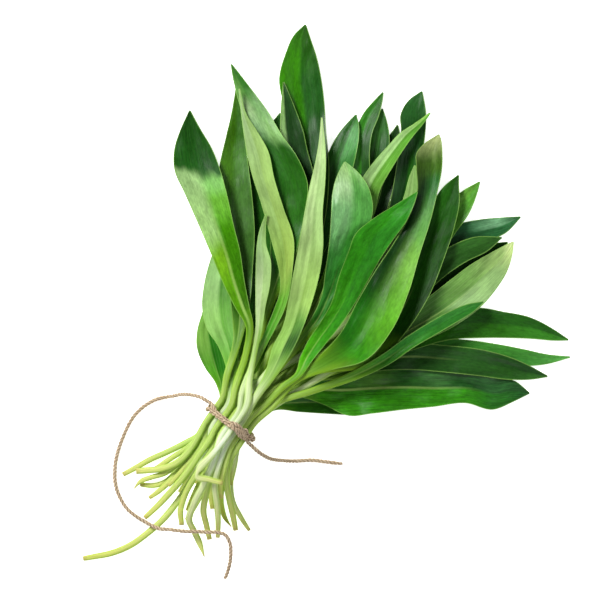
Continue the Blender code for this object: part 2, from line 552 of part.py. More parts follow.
def tie_place(across, height, along):
    """Points of the tie from their place across the bundle, height and place along it."""
    x = TIE_MIDDLE[0] + TIE_ALONG[0] * across + BUNDLE_ALONG[0] * along
    y = TIE_MIDDLE[1] + TIE_ALONG[1] * across + BUNDLE_ALONG[1] * along
    return np.stack([x, y, height], axis=-1)


def turns(section):
    """The two turns of the twine, crossing each other on top and below."""
    radius = TWINE_THICK / 2
    found = []
    for sign in (1, -1):
        line = round_the_bundle(section, radius + TIE_CLEAR)
        centre = (line.min(axis=0) + line.max(axis=0)) / 2
        angle = np.arctan2(line[:, 1] - centre[1], line[:, 0] - centre[0])
        out = line - centre
        out /= np.linalg.norm(out, axis=1, keepdims=True)
        cross = np.cos(angle) * sign
        outer = 0.35 * TWINE_THICK * (1 + np.sin(angle) * sign) * np.clip(np.sin(angle) + 0.4, 0, 1)
        line = line + out * outer[:, None]
        found.append(resampled(tie_place(line[:, 0], line[:, 1], 1.25 * cross), 2.7, closed=True))
    return found


def build_leaves(pile):
    """Every leaf's solid. It gives each one's rings of points."""
    made = []
    for leaf in LEAVES:
        rings = leaf_rings(leaf, pile)
        points, faces = closed_tube(rings)
        colour = LEAF_FACE_UP if leaf[1] == "upper" else LEAF_FACE_UNDER
        mesh_object(leaf[0], points, faces, material(leaf[0] + "_look", colour, 0.4))
        made.append(rings)
    return made


def joined(name, shapes, look):
    """One closed solid from several closed shapes that run into each other."""
    base = mesh_object(name + "_base", *shapes[0], look)
    helpers = [mesh_object(f"{name}_{i}", *shape, look) for i, shape in enumerate(shapes[1:])]
    for helper in helpers:
        union = base.modifiers.new("union", "BOOLEAN")
        union.operation = "UNION"
        union.solver = "EXACT"
        union.object = helper
    graph = bpy.context.evaluated_depsgraph_get()
    mesh = bpy.data.meshes.new_from_object(base.evaluated_get(graph))
    for obj in [base] + helpers:
        bpy.data.objects.remove(obj, do_unlink=True)
    result = bpy.data.objects.new(name, mesh)
    bpy.context.scene.collection.objects.link(result)
    return result


def knot(section):
    """The shapes of the knot, where the twine is tied on the right shoulder of the bundle."""
    radius = TWINE_THICK / 2
    line = round_the_bundle(section, radius + TIE_CLEAR + 0.9)
    top = line[line[:, 1] > line[:, 1].mean()]
    start = top[np.abs(top[:, 0] - KNOT_ACROSS).argmin()]
    around = []
    for across, along, up, turn in ((0.0, 0.0, 0.4, 0.0), (1.9, 0.3, -0.1, 0.6)):
        angle = np.arange(9) * math.tau / 9
        wide = KNOT_WIDE / 2
        spin = math.pi / 2 + turn
        ring = np.stack([
            start[0] + across + 1.3 * np.cos(angle) * math.cos(spin),
            start[1] + up + 1.5 * np.sin(angle),
            wide * np.cos(angle) * math.sin(spin),
        ], axis=1)
        around.append(tie_place(ring[:, 0], ring[:, 1], ring[:, 2]))
    return start, [tube(ring, radius, closed=True) for ring in around]


def stub(route, bands):
    """The end of the tie that a tail goes on from: a short piece with a flat cut, from the
    nearest turn of the twine."""
    ahead = (route[1] - route[0]) / np.linalg.norm(route[1] - route[0])
    end = route[0] - ahead * TAIL_GAP
    near = np.concatenate(bands)
    root = near[np.linalg.norm(near - (end - ahead * STUB_LONG), axis=1).argmin()]
    return tube([root, end - ahead * 1.5, end], TWINE_THICK / 2)


def tail_route(pile, plan, start, away):
    """A tail's centre line: from its start height down to the table, and over what lies
    under it in long low humps."""
    radius = TAIL_THICK / 2
    plan = np.array(plan, float)
    along = chord(plan)
    at = np.linspace(0, along[-1], int(along[-1]) + 1)
    line = smooth(along, plan, at)
    side = left_of(line)
    need = np.full(len(at), radius + 0.05)
    for u in np.linspace(-1, 1, 7):
        top = pile.height[pile.cell(line + side * u * (radius + 0.4))]
        round_ = radius * math.sqrt(1 - 0.8 * u * u)
        need = np.maximum(need, np.where(top > 0, top + 0.6 + round_, 0))
    need[at < 6] = radius
    gap = np.abs(at[:, None] - at[None, :])
    height = np.maximum((need[None, :] - TAIL_SAG * gap**2).max(axis=1), radius + 0.05)
    fall = start - TAIL_FALL * at**2
    bottom = at[np.argmax(fall < (start + radius) / 2)]
    rise = radius + TAIL_FALL * np.clip(2 * bottom - at, 0, None) ** 2
    height = np.maximum(height, np.where(at < bottom, fall, rise))
    soft = blurred(height, 3)
    soft = np.maximum(soft, radius + 0.05) + blurred(np.maximum(need - soft, 0), 2)
    soft[0] = start
    route = np.concatenate([line, soft[:, None]], axis=1)
    return resampled(route, away)


def tail(name, route, look):
    """A free tail, as a round cord with flat ends."""
    curve = bpy.data.curves.new(name, "CURVE")
    curve.dimensions = "3D"
    curve.bevel_depth = TAIL_THICK / 2 * MM
    curve.bevel_resolution = 2
    curve.use_fill_caps = True
    spline = curve.splines.new("POLY")
    spline.points.add(len(route) - 1)
    for point, place in zip(spline.points, placed(route)):
        point.co = (*place, 1.0)
    curve.materials.append(look)
    obj = bpy.data.objects.new(name, curve)
    bpy.context.scene.collection.objects.link(obj)
    return obj


def build_twine(pile, section):
    """The tie with its knot, and the two tails that lie on the surface."""
    look = material("jute_twine", JUTE, 0.9)
    bands = turns(section)
    left = bands[1][np.linalg.norm(bands[1] - (LONG_TAIL[0] + (30,)), axis=1).argmin()]
    start, knot_shapes = knot(section)
    routes = (
        tail_route(pile, LONG_TAIL, left[2] - 1.5, 5.4),
        tail_route(pile, SHORT_TAIL, start[1] - 5, 5.4),
    )
    shapes = [tube(band, TWINE_THICK / 2, closed=True) for band in bands]
    shapes += knot_shapes + [stub(route, bands) for route in routes]
    joined("twine_tie", shapes, look)
    tail("twine_tail_long", routes[0], look)
    tail("twine_tail_short", routes[1], look)


clear_scene()
the_pile = Pile()
stalks_at_tie = bundle_section(build_leaves(the_pile))
build_twine(the_pile, stalks_at_tie)
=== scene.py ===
# %% [markdown]
# # A bunch of wild garlic leaves, tied with jute twine
# The real thing is a handful of long leaves, each a flat blade on a slim stalk, held by two
# turns of twine and laid down on a white table. Each leaf came off its own plant, so each
# is a piece of its own here, and so are the tie and the two loose ends of the twine.
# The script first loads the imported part, which says how big and where each piece is.

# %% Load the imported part
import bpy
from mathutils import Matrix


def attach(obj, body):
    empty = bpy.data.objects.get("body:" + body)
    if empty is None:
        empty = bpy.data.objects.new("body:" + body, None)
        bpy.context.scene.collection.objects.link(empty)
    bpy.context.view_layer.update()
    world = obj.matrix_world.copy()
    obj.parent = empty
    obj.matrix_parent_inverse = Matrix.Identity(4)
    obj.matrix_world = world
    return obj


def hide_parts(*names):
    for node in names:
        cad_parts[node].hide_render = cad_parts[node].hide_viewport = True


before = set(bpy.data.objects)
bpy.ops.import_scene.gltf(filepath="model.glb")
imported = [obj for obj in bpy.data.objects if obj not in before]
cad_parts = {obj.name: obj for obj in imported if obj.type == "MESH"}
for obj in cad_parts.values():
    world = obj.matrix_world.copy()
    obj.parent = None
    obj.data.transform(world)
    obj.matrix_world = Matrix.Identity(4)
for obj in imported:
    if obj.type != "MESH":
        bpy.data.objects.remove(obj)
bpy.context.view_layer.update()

import math
from types import SimpleNamespace

import bpy
import numpy as np
from mathutils import Vector

MM = 0.001

# %% [markdown]
# ## Where everything lies
# A leaf is drawn the way a botanist would press it: a line of points for the stalk, then
# pairs of points for the left and right edge of the blade, then the tip. All of them are
# millimetres from the middle of the tie, seen from above. The word after the name says
# which face is up, because the two faces look very different: the upper face is dark and
# glossy, the underside pale and dull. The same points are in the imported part, so the
# dressed leaves lie where its solids lie.

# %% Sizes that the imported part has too, in millimetres
# The tie's place in the part, the middle of the stalks there, and the ways across them and
# along them.
TIE_AT = (-53.1, -70.4)
TIE_MIDDLE = (-0.3, -0.5)
TIE_ALONG = (0.82, -0.572)
BUNDLE_ALONG = (0.572, 0.82)

# Stalks and blades: how wide and how thick each is.
STALK_WIDE = 3.8
STALK_WIDE_HELD = 3.3
STALK_THICK = 2.4
BLADE_THICK = 0.65
MIDRIB_THICK = 1.1
RIM_THICK = 0.6
TIP_WIDE = 0.9
POINTED_WIDE = 1.0
POINTED_ENDS = ("leaf_pale_ribbon_left", "leaf_upper_narrow", "leaf_bottom_dark")

# Each leaf's sections: more of them on the blade, and five points across.
MORE_BLADE_STATIONS = 3
STALK_STATION_STEP = 14
CLOSER_TO_TIP = 1.25
ACROSS = np.array([-1.0, -0.5, 0.0, 0.5, 1.0])
BASE_IS_BLADE = 0.35
RIB_REACH = 1.6

# The pile: its grid, the gap kept above what lies below, how far a leaf sags across a gap
# and how sharply it bends, both as a curvature, how far it may tilt sideways, and how many
# points it is given between its sections, and across, to look for what lies below.
CELL = 0.4
MAP_LOW = (-92.0, -96.0)
MAP_HIGH = (198.0, 228.0)
BLADE_GAP = 0.65
STALK_GAP = 0.35
BLADE_SAG = 0.003
STALK_SAG = 0.05
BLADE_STIFF = 0.008
STALK_STIFF = 0.08
SETTLE_ROUNDS = 60
STEEPEST_TILT = 0.45
TILTS_TRIED = 13
FINE_ALONG = 16
FINE_ACROSS = 12

# The twine, the length that it holds straight, the room for it under the stalks, and how a
# loose end falls and sags.
TWINE_THICK = 2.2
HELD = 8.0
UNDER_TIE = 3.0
UNDER_TIE_LONG = 4
UNDER_TIE_WIDE = 14
TIE_CLEAR = 0.4
TAIL_GAP = 0.3
TAIL_THICK = 2.2
TAIL_SAG = 0.01
TAIL_FALL = 0.05
STUB_LONG = 5.2
KNOT_ACROSS = 9.0
print("the twine is", TWINE_THICK, "mm thick and the stalks", STALK_WIDE, "mm wide")

# %% The leaves, the bottom of the pile first
# Each leaf, the bottom of the pile first: its name, the face that is up, its place across
# the tie, its stalk from the cut end to the tie, its stalk from the tie to the blade, the
# slope of its left and right half, its blade's left and right edge from base to tip, and
# its tip.
LEAVES = (
    ("leaf_left_lowest", "under", -10.6, ((-59.5, -30), (-52, -26), (-45, -22), (-35, -17.5),
      (-25, -12.5), (-17, -7.5)),
     (), (0.2, 0.25),
     ((-8, 20, -2, 18), (-14, 29, -1.5, 27.5), (-18.5, 40, -3, 39.5), (-18.5, 49, -6, 50),
      (-15.5, 60, -5, 62), (-12, 72, -4, 74)), (-8, 90)),
    ("leaf_under_left", "upper", -6.4, ((-19, -35), (-13, -18)), ((3, 20),), (0.15, 0.15),
     ((-2, 37, 11, 33), (-1, 55, 24, 52), (3, 80, 32, 78), (6, 105, 35, 104),
      (7, 130, 32, 130), (11, 149, 33, 150)), (27.5, 170)),
    ("leaf_under_centre", "upper", -2.1, ((-13, -36), (-8, -19)), ((8, 15),), (0.15, 0.15),
     ((14, 31, 28, 24), (21, 47, 38, 40), (29, 65, 44, 60), (36, 90, 57, 86), (42, 115, 64, 112),
      (47, 135, 63, 133)), (58, 152)),
    ("leaf_under_back", "upper", 2.1, ((-8, -36), (-3, -20)), ((10, 18), (26, 34)),
     (0.15, 0.1),
     ((40, 46, 46, 42), (52, 68, 66, 60), (64, 90, 82, 82), (76, 110, 92, 103)), (92, 124)),
    ("leaf_under_right", "upper", 6.4, ((-3, -36), (-1, -21)), ((18, 12),), (0.1, 0.1),
     ((31, 29, 37, 20), (44, 39, 52, 28), (60, 50, 70, 37), (76, 68, 92, 52), (90, 86, 108, 70),
      (102, 102, 118, 88)), (118, 112)),
    ("leaf_bottom_dark", "upper", 10.6, ((0.5, -59), (-3, -54), (-5, -46), (-4, -34), (1, -20)),
     ((15, 2),), (0.2, 0.1),
     ((23, 10.5, 25, 5.5), (36, 15, 38, 4.6), (52, 16, 53, 3.6), (70, 15, 70, 3),
      (90, 14, 90, 6)), (108, 11)),
    ("leaf_far_right_low", "upper", 8.5, ((0, -35), (0.8, -21)), ((20, 8), (38, 19)), (0.15, 0.1),
     ((60, 34, 62, 28), (82, 42, 84, 33), (104, 45.5, 105, 35), (126, 45, 126, 33.5),
      (146, 42.5, 144, 31.5), (162, 39.5, 160, 30), (176, 36.5, 175, 31)), (188, 35)),
    ("leaf_right_bluish", "upper", 4.25, ((-8, -34), (-3, -19)), ((16, 14), (40, 32)), (0.2, 0.1),
     ((76, 60, 82, 54), (93, 80, 101, 72), (107, 96, 116, 87), (121, 107, 129, 97),
      (137, 111, 141, 99), (150, 112.3, 153, 104)), (160.5, 112.5)),
    ("leaf_back_dark", "upper", 0.0, ((-24, -50), (-20, -41), (-15, -31), (-8, -17)),
     ((12, 16), (30, 38)), (0.15, 0.2),
     ((52, 64, 58, 60), (63, 86, 73, 82), (71, 108, 83, 104), (76, 128, 89, 124),
      (80, 142, 93.5, 139), (85.5, 154, 95, 152)), (92.5, 163.5)),
    ("leaf_back_slim", "upper", -4.25, ((-50, -35.5), (-42, -36), (-36, -34), (-29, -27),
      (-18, -14)), ((14, 22), (33, 43)), (0.25, 0.15),
     ((50, 68, 56, 65), (60, 92, 70, 89), (67, 115, 79, 112), (71.5, 132, 84, 129),
      (75, 147, 87, 144), (78, 159, 88, 157), (81, 167, 86.5, 166)), (84, 172.5)),
    ("leaf_folded_back", "upper", -8.5, ((-42, -27), (-32, -20.5), (-20, -12)),
     ((10, 18), (30, 44)), (0.7, 0.25),
     ((48, 74, 54, 71), (57, 98, 65, 95), (64, 120, 74, 118), (67.5, 137, 77, 136),
      (67.5, 150, 77, 149), (69.5, 161, 78.5, 159), (74, 170.5, 82, 168), (80, 177.5, 84, 175.5)),
     (84.5, 181.5)),
    ("leaf_centre_back", "upper", -2.1, ((-21, -48), (-17, -38), (-12.5, -28), (-8.8, -16)),
     ((12, 18), (24, 44)), (0.3, 0.3),
     ((32, 72, 38, 69), (38, 90, 49, 87), (43, 108, 58, 106), (47, 124, 64, 122),
      (51, 139, 67, 136), (55, 150, 69.5, 147), (60, 159, 71, 156.5), (65.5, 165.5, 71, 163.5)),
     (69.5, 169)),
    ("leaf_tallest", "upper", -6.4, ((-45, -43), (-40, -39.5), (-33, -33), (-26, -25), (-17, -13)),
     ((4, 20), (22, 50)), (0.3, 0.2),
     ((30, 72, 36, 70), (31, 88, 45, 86), (31, 105, 51, 104), (32, 124, 54, 124),
      (32, 142, 54.5, 142), (31, 160, 53, 160), (29, 175, 52, 176), (27, 190, 50, 191),
      (30.5, 203, 47.5, 202), (35, 213, 44.5, 211)), (41.5, 219)),
    ("leaf_upper_narrow", "upper", -10.6, ((-53.5, -38), (-50, -34), (-44, -31.5), (-36, -29),
      (-28, -23), (-18, -11.5)),
     ((0, 20), (16, 52)), (0.5, 0.2),
     ((27, 90, 35, 88), (29, 110, 44, 109), (30, 130, 47, 130), (28.5, 148, 42.5, 150),
      (27.5, 162, 40, 161), (28, 174, 36, 172)), (29.5, 187)),
    ("leaf_light_right", "upper", 2.1, ((-5, -35), (-4.5, -20)), ((15, 12), (38, 30)),
     (0.2, 0.2),
     ((70, 52, 78, 46), (90, 76, 100, 68), (103, 96, 114, 88), (112, 110, 124, 103),
      (121, 121, 132, 114.5), (130, 128, 136, 124)), (138, 132)),
    ("leaf_big_bottom", "upper", 11.0, ((10.5, -61), (6, -54), (1.5, -45), (0.3, -38), (1, -27),
      (3.5, -17)),
     ((17, 4.5), (25, 10.5)), (0.25, 0.35),
     ((34, 18, 36, 13), (47, 25, 51, 9), (60, 30.5, 64, 3), (78, 31.5, 79, 4),
      (96, 30.5, 96, 6), (114, 28, 112, 7.5), (132, 26, 130, 9.5), (148, 23.5, 146, 6),
      (158, 21.5, 157, 10.5)), (165.5, 15)),
    ("leaf_right_midribbed", "upper", 6.4, ((-3, -34), (-1.6, -20)), ((20, 10), (40, 22)), (0.2, 0.2),
     ((56, 29, 58, 23), (76, 38, 79, 27), (98, 42.5, 99, 28), (120, 41.5, 119, 26.5),
      (140, 39, 138, 24.5), (156, 34.5, 154, 22.5), (167, 29.5, 166, 22.5)), (175.5, 24.3)),
    ("leaf_right_sliver", "upper", 4.25, ((-10, -49), (-10.5, -40), (-8, -31), (-3, -18)),
      ((20, 11.5), (48, 27)), (0.1, 0.1),
     ((84, 54, 89, 49), (100, 70, 107, 62), (114, 82, 122, 73), (128, 91.5, 136, 82.5),
      (142, 97.5, 147, 90.5)), (153.5, 98.5)),
    ("leaf_far_right", "upper", 8.5, ((-7, -33), (-2, -19)), ((20, 9), (40, 21)), (0.15, 0.25),
     ((64, 34, 66, 28), (82, 43, 86, 34), (100, 51, 104, 40), (118, 58, 121, 44.5),
      (136, 62.3, 138, 45.5), (152, 60, 153, 45.5), (166, 57, 167, 45), (178, 51, 179, 44)),
     (187, 44.5)),
    ("leaf_upper_dark", "upper", -8.5, ((-34, -36), (-26, -27), (-15, -13)), ((11, 19), (38, 39)),
     (0.2, 0.3),
     ((60, 60, 66, 56), (68, 74, 77, 69), (78, 92, 88, 88), (86, 112, 99, 108),
      (90, 130, 104, 128), (92.5, 146, 106, 145), (94.3, 160, 108, 160), (94.3, 170, 108.3, 170),
      (99, 177.5, 107.3, 177)), (106, 182)),
    ("leaf_pale_tip", "under", -4.25, ((-28, -40), (-20, -28), (-11, -14)), ((8, 16), (42, 38)),
     (0.2, 0.2),
     ((72, 66, 77, 62), (84, 92, 91, 88), (92, 112, 100, 109), (96.5, 126, 104.5, 124.5),
      (99, 135, 104, 134)), (102, 141)),
    ("leaf_right_narrow", "upper", 0.0, ((-14, -35), (-7, -19)), ((20, 15), (50, 33)), (0.2, 0.2),
     ((80, 56, 86, 50), (96, 74, 104, 66), (108, 87, 117, 78.5), (122, 96.5, 130, 87.5),
      (136, 101.5, 142, 93.5)), (150, 101)),
    ("leaf_big_pale_right", "under", 10.6, ((0, -35), (3, -20)), ((22, 7), (46, 22)), (0.15, 0.2),
     ((68, 40, 72, 33), (84, 51, 92, 38), (100, 61.5, 111, 46), (112, 70.5, 125, 53),
      (123, 79, 138, 62.5), (134, 87, 148, 74), (145, 93.3, 153.8, 84), (152, 97, 156, 92)),
     (156.5, 98.8)),
    ("leaf_dark_channelled", "upper", 6.4, ((-9, -34), (-3, -19)), ((20, 14), (46, 27)), (0.3, 0.3),
     ((74, 38, 81, 32), (82, 55, 96, 48), (90, 73, 109, 68), (98, 91, 118, 90),
      (106, 108, 123.7, 107), (112, 121, 126.5, 121), (118, 129.5, 126.3, 129.5)), (126, 135.5)),
    ("leaf_left_pale", "under", -6.2, ((-81.5, -76.5), (-76, -75.5), (-66, -73.5), (-56, -69.5),
      (-46, -62.5), (-37, -54.5),
      (-29, -44.5), (-22, -34), (-16, -24), (-11, -13)), (), (0.2, 0.2),
     ((-1.5, 26, 3.5, 25), (-6.5, 41, 5, 40), (-13, 51, 4, 52), (-15.5, 62, 3, 63),
      (-14.5, 75, 3, 76), (-11, 89, 4, 90), (-6, 102, 5, 103)), (0, 118)),
    ("leaf_left_tall", "upper", -10.6, ((-52, -28), (-46, -27.5), (-38, -26.5), (-30, -23.5),
      (-23, -17), (-17, -7.5)),
     ((-1.5, 25),), (0.3, 0.35),
     ((1.5, 44, 6.5, 44), (0.5, 64, 10.8, 64), (-2, 85, 12.5, 85), (-5, 105, 13.5, 105),
      (-7, 122, 12.3, 122), (-6, 141, 10, 141), (-2.5, 157, 8, 157), (0.5, 170, 6.3, 170),
      (2.2, 180, 4.8, 180)), (4, 190)),
    ("leaf_upper_left", "upper", -2.1, ((-27, -58), (-27.5, -50), (-25, -41), (-19, -30), (-10, -15)),
     ((8, 22), (16, 46)), (0.25, 0.3),
     ((20, 70, 26, 68), (22, 85, 34, 84), (22, 100, 38.5, 101), (21, 116, 41.5, 116),
      (19, 131, 42.8, 130), (15, 146, 36.5, 146), (11, 158, 28.5, 157.5), (6.5, 170, 20.5, 171),
      (3, 182, 11, 184), (1, 191, 4.5, 192.5)), (0.5, 197)),
    ("leaf_pale_ribbon_upper", "under", 2.1, ((-24, -55), (-19, -46), (-14, -37), (-9, -27),
      (-4, -14)), ((14, 18), (30, 38)), (0.3, 0.3),
     ((44, 58, 50, 55), (54, 80, 64, 76), (62, 102, 74, 98), (68, 120, 80, 116),
      (72.5, 133, 83, 128), (79, 142.5, 88.5, 138), (86.5, 151, 95, 148.5), (94, 159, 101, 157),
      (103, 165, 106, 163)), (110.5, 170)),
    ("leaf_bright_strip", "upper", 8.5, ((-3, -35), (1, -20)), ((22, 9), (46, 17)), (0.25, 0.25),
     ((66, 27, 69, 22.5), (84, 37, 88, 31.5), (97, 46.5, 101, 40.5), (109, 54, 113, 47.5),
      (121, 60.5, 125, 54.5), (131, 64.5, 134, 60)), (139.5, 65.5)),
    ("leaf_big_curved", "upper", 11.6, ((3, -61), (1.5, -52), (0, -44), (-1.5, -34), (-1, -24)),
     ((22, 7), (37, 23)), (0.35, 0.45),
     ((49, 36, 55, 28), (61, 49, 74, 33.5), (70, 66, 88, 49), (80, 83, 98, 71),
      (90, 98, 104, 91), (98, 112, 110.5, 111), (103, 127, 114.5, 127), (102.5, 140, 117, 140),
      (103.5, 149, 117, 151), (109, 154.5, 116.5, 155.5)), (115.5, 158)),
    ("leaf_glossy_centre", "upper", 0.0, ((-11.5, -66), (-13, -58), (-14.5, -50), (-13, -40),
      (-10, -28), (-7, -16)),
     ((16, 16), (30, 33)), (0.2, 0.2),
     ((40, 50, 45, 47), (45.5, 58, 52, 56), (50.3, 69, 58, 68), (52.3, 82, 65, 82),
      (54.5, 98, 70.5, 97), (55.5, 112, 77.5, 110), (56.3, 125, 78, 122), (58.5, 134, 73.5, 133),
      (61, 139.5, 68, 139)), (63, 142.5)),
    ("leaf_big_bright", "upper", 8.2, ((-4.5, -42), (-5, -35), (-3, -26)),
     ((18, 8), (29, 19)), (0.25, 0.2),
     ((36, 27, 39.5, 25), (38.5, 35, 45, 33), (43, 44.5, 53, 43), (50, 55, 61, 53),
      (56, 66, 69, 65), (60, 80, 76.5, 78), (65, 93, 83, 89.5), (69, 103, 90, 100),
      (79, 111.5, 96.5, 109), (91, 119, 101, 118.5)), (103, 126)),
    ("leaf_left_outer", "upper", -4.2, ((-47.5, -54), (-40, -47), (-33, -39.5), (-25, -30),
      (-18, -20), (-10, -8)),
     ((3, 18), (9, 38)), (0.15, 0.2),
     ((8.5, 52, 13, 52), (3, 62, 10.5, 64), (-3, 74, 8, 77), (-10.5, 92, 5.5, 94),
      (-17, 107, 2.5, 106), (-25, 125, -2, 126), (-31, 139, -6, 140), (-31, 150, -10.5, 151),
      (-28, 160, -17, 162)), (-22.5, 171.5)),
    ("leaf_pale_ribbon_long", "under", 5.6, ((-7, -65), (-6.5, -55), (-7, -45), (-8, -34), (-6, -24)),
     ((13, 11),), (0.3, 0.3),
     ((19.5, 27.5, 26, 25.5), (24, 42, 35.5, 41), (29, 52, 40, 51), (32, 65, 45, 65),
      (34.8, 81, 49.5, 82), (38, 98, 51.3, 97), (41, 115, 51, 115), (44, 130, 52.3, 130),
      (47, 143, 52.8, 143), (49, 155, 52.2, 155)), (50.5, 167)),
    ("leaf_pale_ribbon_left", "under", 0.9, ((-14.5, -75.5), (-17, -68), (-20, -61), (-22.5, -55),
      (-20, -46), (-14, -34), (-8, -20)),
     ((7, 16), (12, 29)), (0.3, 0.3),
     ((14, 38, 18, 37), (19.5, 50, 24, 49), (24, 61, 29.5, 60), (27.5, 72, 33, 72),
      (27, 82, 34.5, 84), (23, 98, 35.2, 99), (17, 120, 29.5, 117), (12.5, 134, 24.5, 133),
      (9.5, 146, 21, 148.5), (7.5, 158, 15.5, 158.5), (6, 169, 9, 169)), (5, 183)),
    ("leaf_narrow_on_top", "under", 3.2, ((-3.5, -33), (-11, -31), (-17.5, -29), (-16.5, -25.8),
      (-10, -18.5)),
     ((9, 8), (11, 24)), (0.35, 0.35),
     ((12.5, 40, 15.5, 39.5), (14, 50, 17.5, 49.5), (14, 63, 19.5, 62.5), (14, 78, 22.3, 77),
      (14.3, 88, 22.5, 88), (14.8, 97, 20, 97), (16, 104, 19.8, 104)), (20, 114)),
)

# The loose ends of the twine, from the tie outwards, as seen from above.
LONG_TAIL = (
    (-11.7, 10.9), (-14.6, 12.8), (-19, 14.1), (-25, 14.8), (-33, 13.3), (-40, 12), (-46, 9), (-51, 5),
    (-55, 0), (-58, -6), (-60.5, -12), (-63, -20), (-64, -28), (-63.5, -36), (-61, -43), (-57, -49),
    (-52, -53), (-46, -56.5), (-40, -59.5), (-33, -60), (-25, -61), (-18, -61), (-10, -61.5),
    (-5, -61.5), (-1.5, -64), (0, -68), (0.3, -74), (-1, -82), (-3, -87.5),
)
SHORT_TAIL = (
    (11.3, -12.3), (13.5, -14.4), (17, -17.5), (22, -20.5), (28, -21.8), (36, -22.5), (45, -22),
    (53, -23), (62, -24),
)
undersides = sum(leaf[1] == "under" for leaf in LEAVES)
print(len(LEAVES), "leaves,", undersides, "of them with the underside up")

# %% [markdown]
# ## Laying the leaves down
# Leaves in a pile don't pass through each other: each rests on whatever is highest beneath
# it, and a stiff stalk bridges the gaps. A cloth simulation could find this, but slowly and
# a little differently each time. Here a height map does it: it keeps the top of everything
# laid so far, and each leaf settles on it, as low as its straight pieces allow.

# %% Curves through points
def smooth(knots, values, at):
    """Values at the places `at`, on a curve through the knots with a continuous slope: in
    each gap the cubic that has the right value and slope at both ends."""
    knots, values, at = (np.asarray(v, float) for v in (knots, values, at))
    step = np.diff(knots)
    rate = np.diff(values, axis=0) / step.reshape((-1,) + (1,) * (values.ndim - 1))
    weight = (step[:-1] / (step[:-1] + step[1:])).reshape((-1,) + (1,) * (values.ndim - 1))
    inner = rate[:-1] * (1 - weight) + rate[1:] * weight
    slope = np.concatenate([rate[:1], inner, rate[-1:]])
    i = np.clip(np.searchsorted(knots, at, side="right") - 1, 0, len(step) - 1)
    shape = (-1,) + (1,) * (values.ndim - 1)
    h = step[i].reshape(shape)
    t = ((at - knots[i]) / step[i]).reshape(shape)
    return (
        values[i] * (1 + 2 * t) * (1 - t) ** 2
        + values[i + 1] * t * t * (3 - 2 * t)
        + slope[i] * h * t * (1 - t) ** 2
        - slope[i + 1] * h * t * t * (1 - t)
    )


def chord(points):
    """The length along a line of points, from its first."""
    steps = np.linalg.norm(np.diff(points, axis=0), axis=1)
    return np.concatenate([[0.0], np.cumsum(steps)])


def left_of(points):
    """The unit vector to the left of a line of points, at each of them."""
    ahead = np.gradient(points, axis=0)
    ahead /= np.linalg.norm(ahead, axis=1, keepdims=True)
    return np.stack([-ahead[:, 1], ahead[:, 0]], axis=1)


def between(values, times):
    """Each station's values, with `times` - 1 more rows in each gap, on straight lines."""
    values = np.asarray(values, float)
    at = np.arange((len(values) - 1) * times + 1) / times
    i = np.minimum(at.astype(int), len(values) - 2)
    t = (at - i).reshape((-1,) + (1,) * (values.ndim - 1))
    return values[i] * (1 - t) + values[i + 1] * t


def blurred(values, reach):
    """Values smoothed over about `reach` neighbours each way."""
    k = np.exp(-0.5 * (np.arange(-2 * reach, 2 * reach + 1) / reach) ** 2)
    padded = np.pad(values, 2 * reach, mode="edge")
    return np.convolve(padded, k / k.sum(), mode="valid")


def finer(values, times):
    """Values with more points across each station, on straight lines between them."""
    return np.moveaxis(between(np.moveaxis(values, 1, 0), times), 0, 1)


print("half way through", (1, 4, 9), "is", smooth((1, 2, 3), (1.0, 4.0, 9.0), (2.0,)))

# %% The outline of one leaf


def tie_point(across):
    """Where a stalk at this place across the bundle passes the tie."""
    return (TIE_MIDDLE[0] + TIE_ALONG[0] * across, TIE_MIDDLE[1] + TIE_ALONG[1] * across)


def leaf_outline(leaf):
    """(lengths along the leaf, its left edge, its right edge, how much it is blade)."""
    _, _, across, below, above, _, blade, tip = leaf
    tie = np.array(tie_point(across))
    straight = [tie + step * np.array(BUNDLE_ALONG) for step in (-HELD, 0, HELD)]
    stalk = np.array([*below, *straight, *above], float)
    rows = np.array(blade, float)
    middle = np.concatenate([stalk, (rows[:, :2] + rows[:, 2:]) / 2, [tip]])
    side = left_of(middle)
    wide = np.full(len(middle), STALK_WIDE / 2)
    wide[len(below):len(below) + 3] = STALK_WIDE_HELD / 2
    wide[-1] = TIP_WIDE / 2
    if leaf[0] in POINTED_ENDS:
        wide[0] = POINTED_WIDE / 2
    left, right = middle + side * wide[:, None], middle - side * wide[:, None]
    left[len(stalk):-1], right[len(stalk):-1] = rows[:, :2], rows[:, 2:]
    is_blade = np.ones(len(middle))
    is_blade[:len(stalk)] = 0
    is_blade[len(stalk)] = BASE_IS_BLADE
    return chord(middle), left, right, is_blade


def tie_and_foot(leaf, along):
    """Lengths along the leaf at the tie and at the foot of its blade."""
    return along[len(leaf[3]) + 1], along[len(leaf[3]) + len(leaf[4]) + 3]


print("the tallest leaf is", round(leaf_outline(LEAVES[12])[0][-1]), "mm long with its stalk")

# %% One leaf before it is laid down


def leaf_stations(leaf, along):
    """Lengths along the leaf where its solid has a section: close together at the tie, and
    closer towards the tip."""
    tie, foot = tie_and_foot(leaf, along)
    counts = [round(length / STALK_STATION_STEP) for length in (tie, foot - tie)]
    below = np.linspace(0, tie - HELD, max(2, counts[0]), endpoint=False)
    above = np.linspace(tie + HELD, foot, max(1, counts[1]), endpoint=False)
    t = np.linspace(0, 1, len(leaf[6]) + MORE_BLADE_STATIONS)
    blade = foot + (along[-1] - foot) * (1 - (1 - t) ** CLOSER_TO_TIP)
    return np.concatenate([below, [tie - HELD, tie], above, blade])


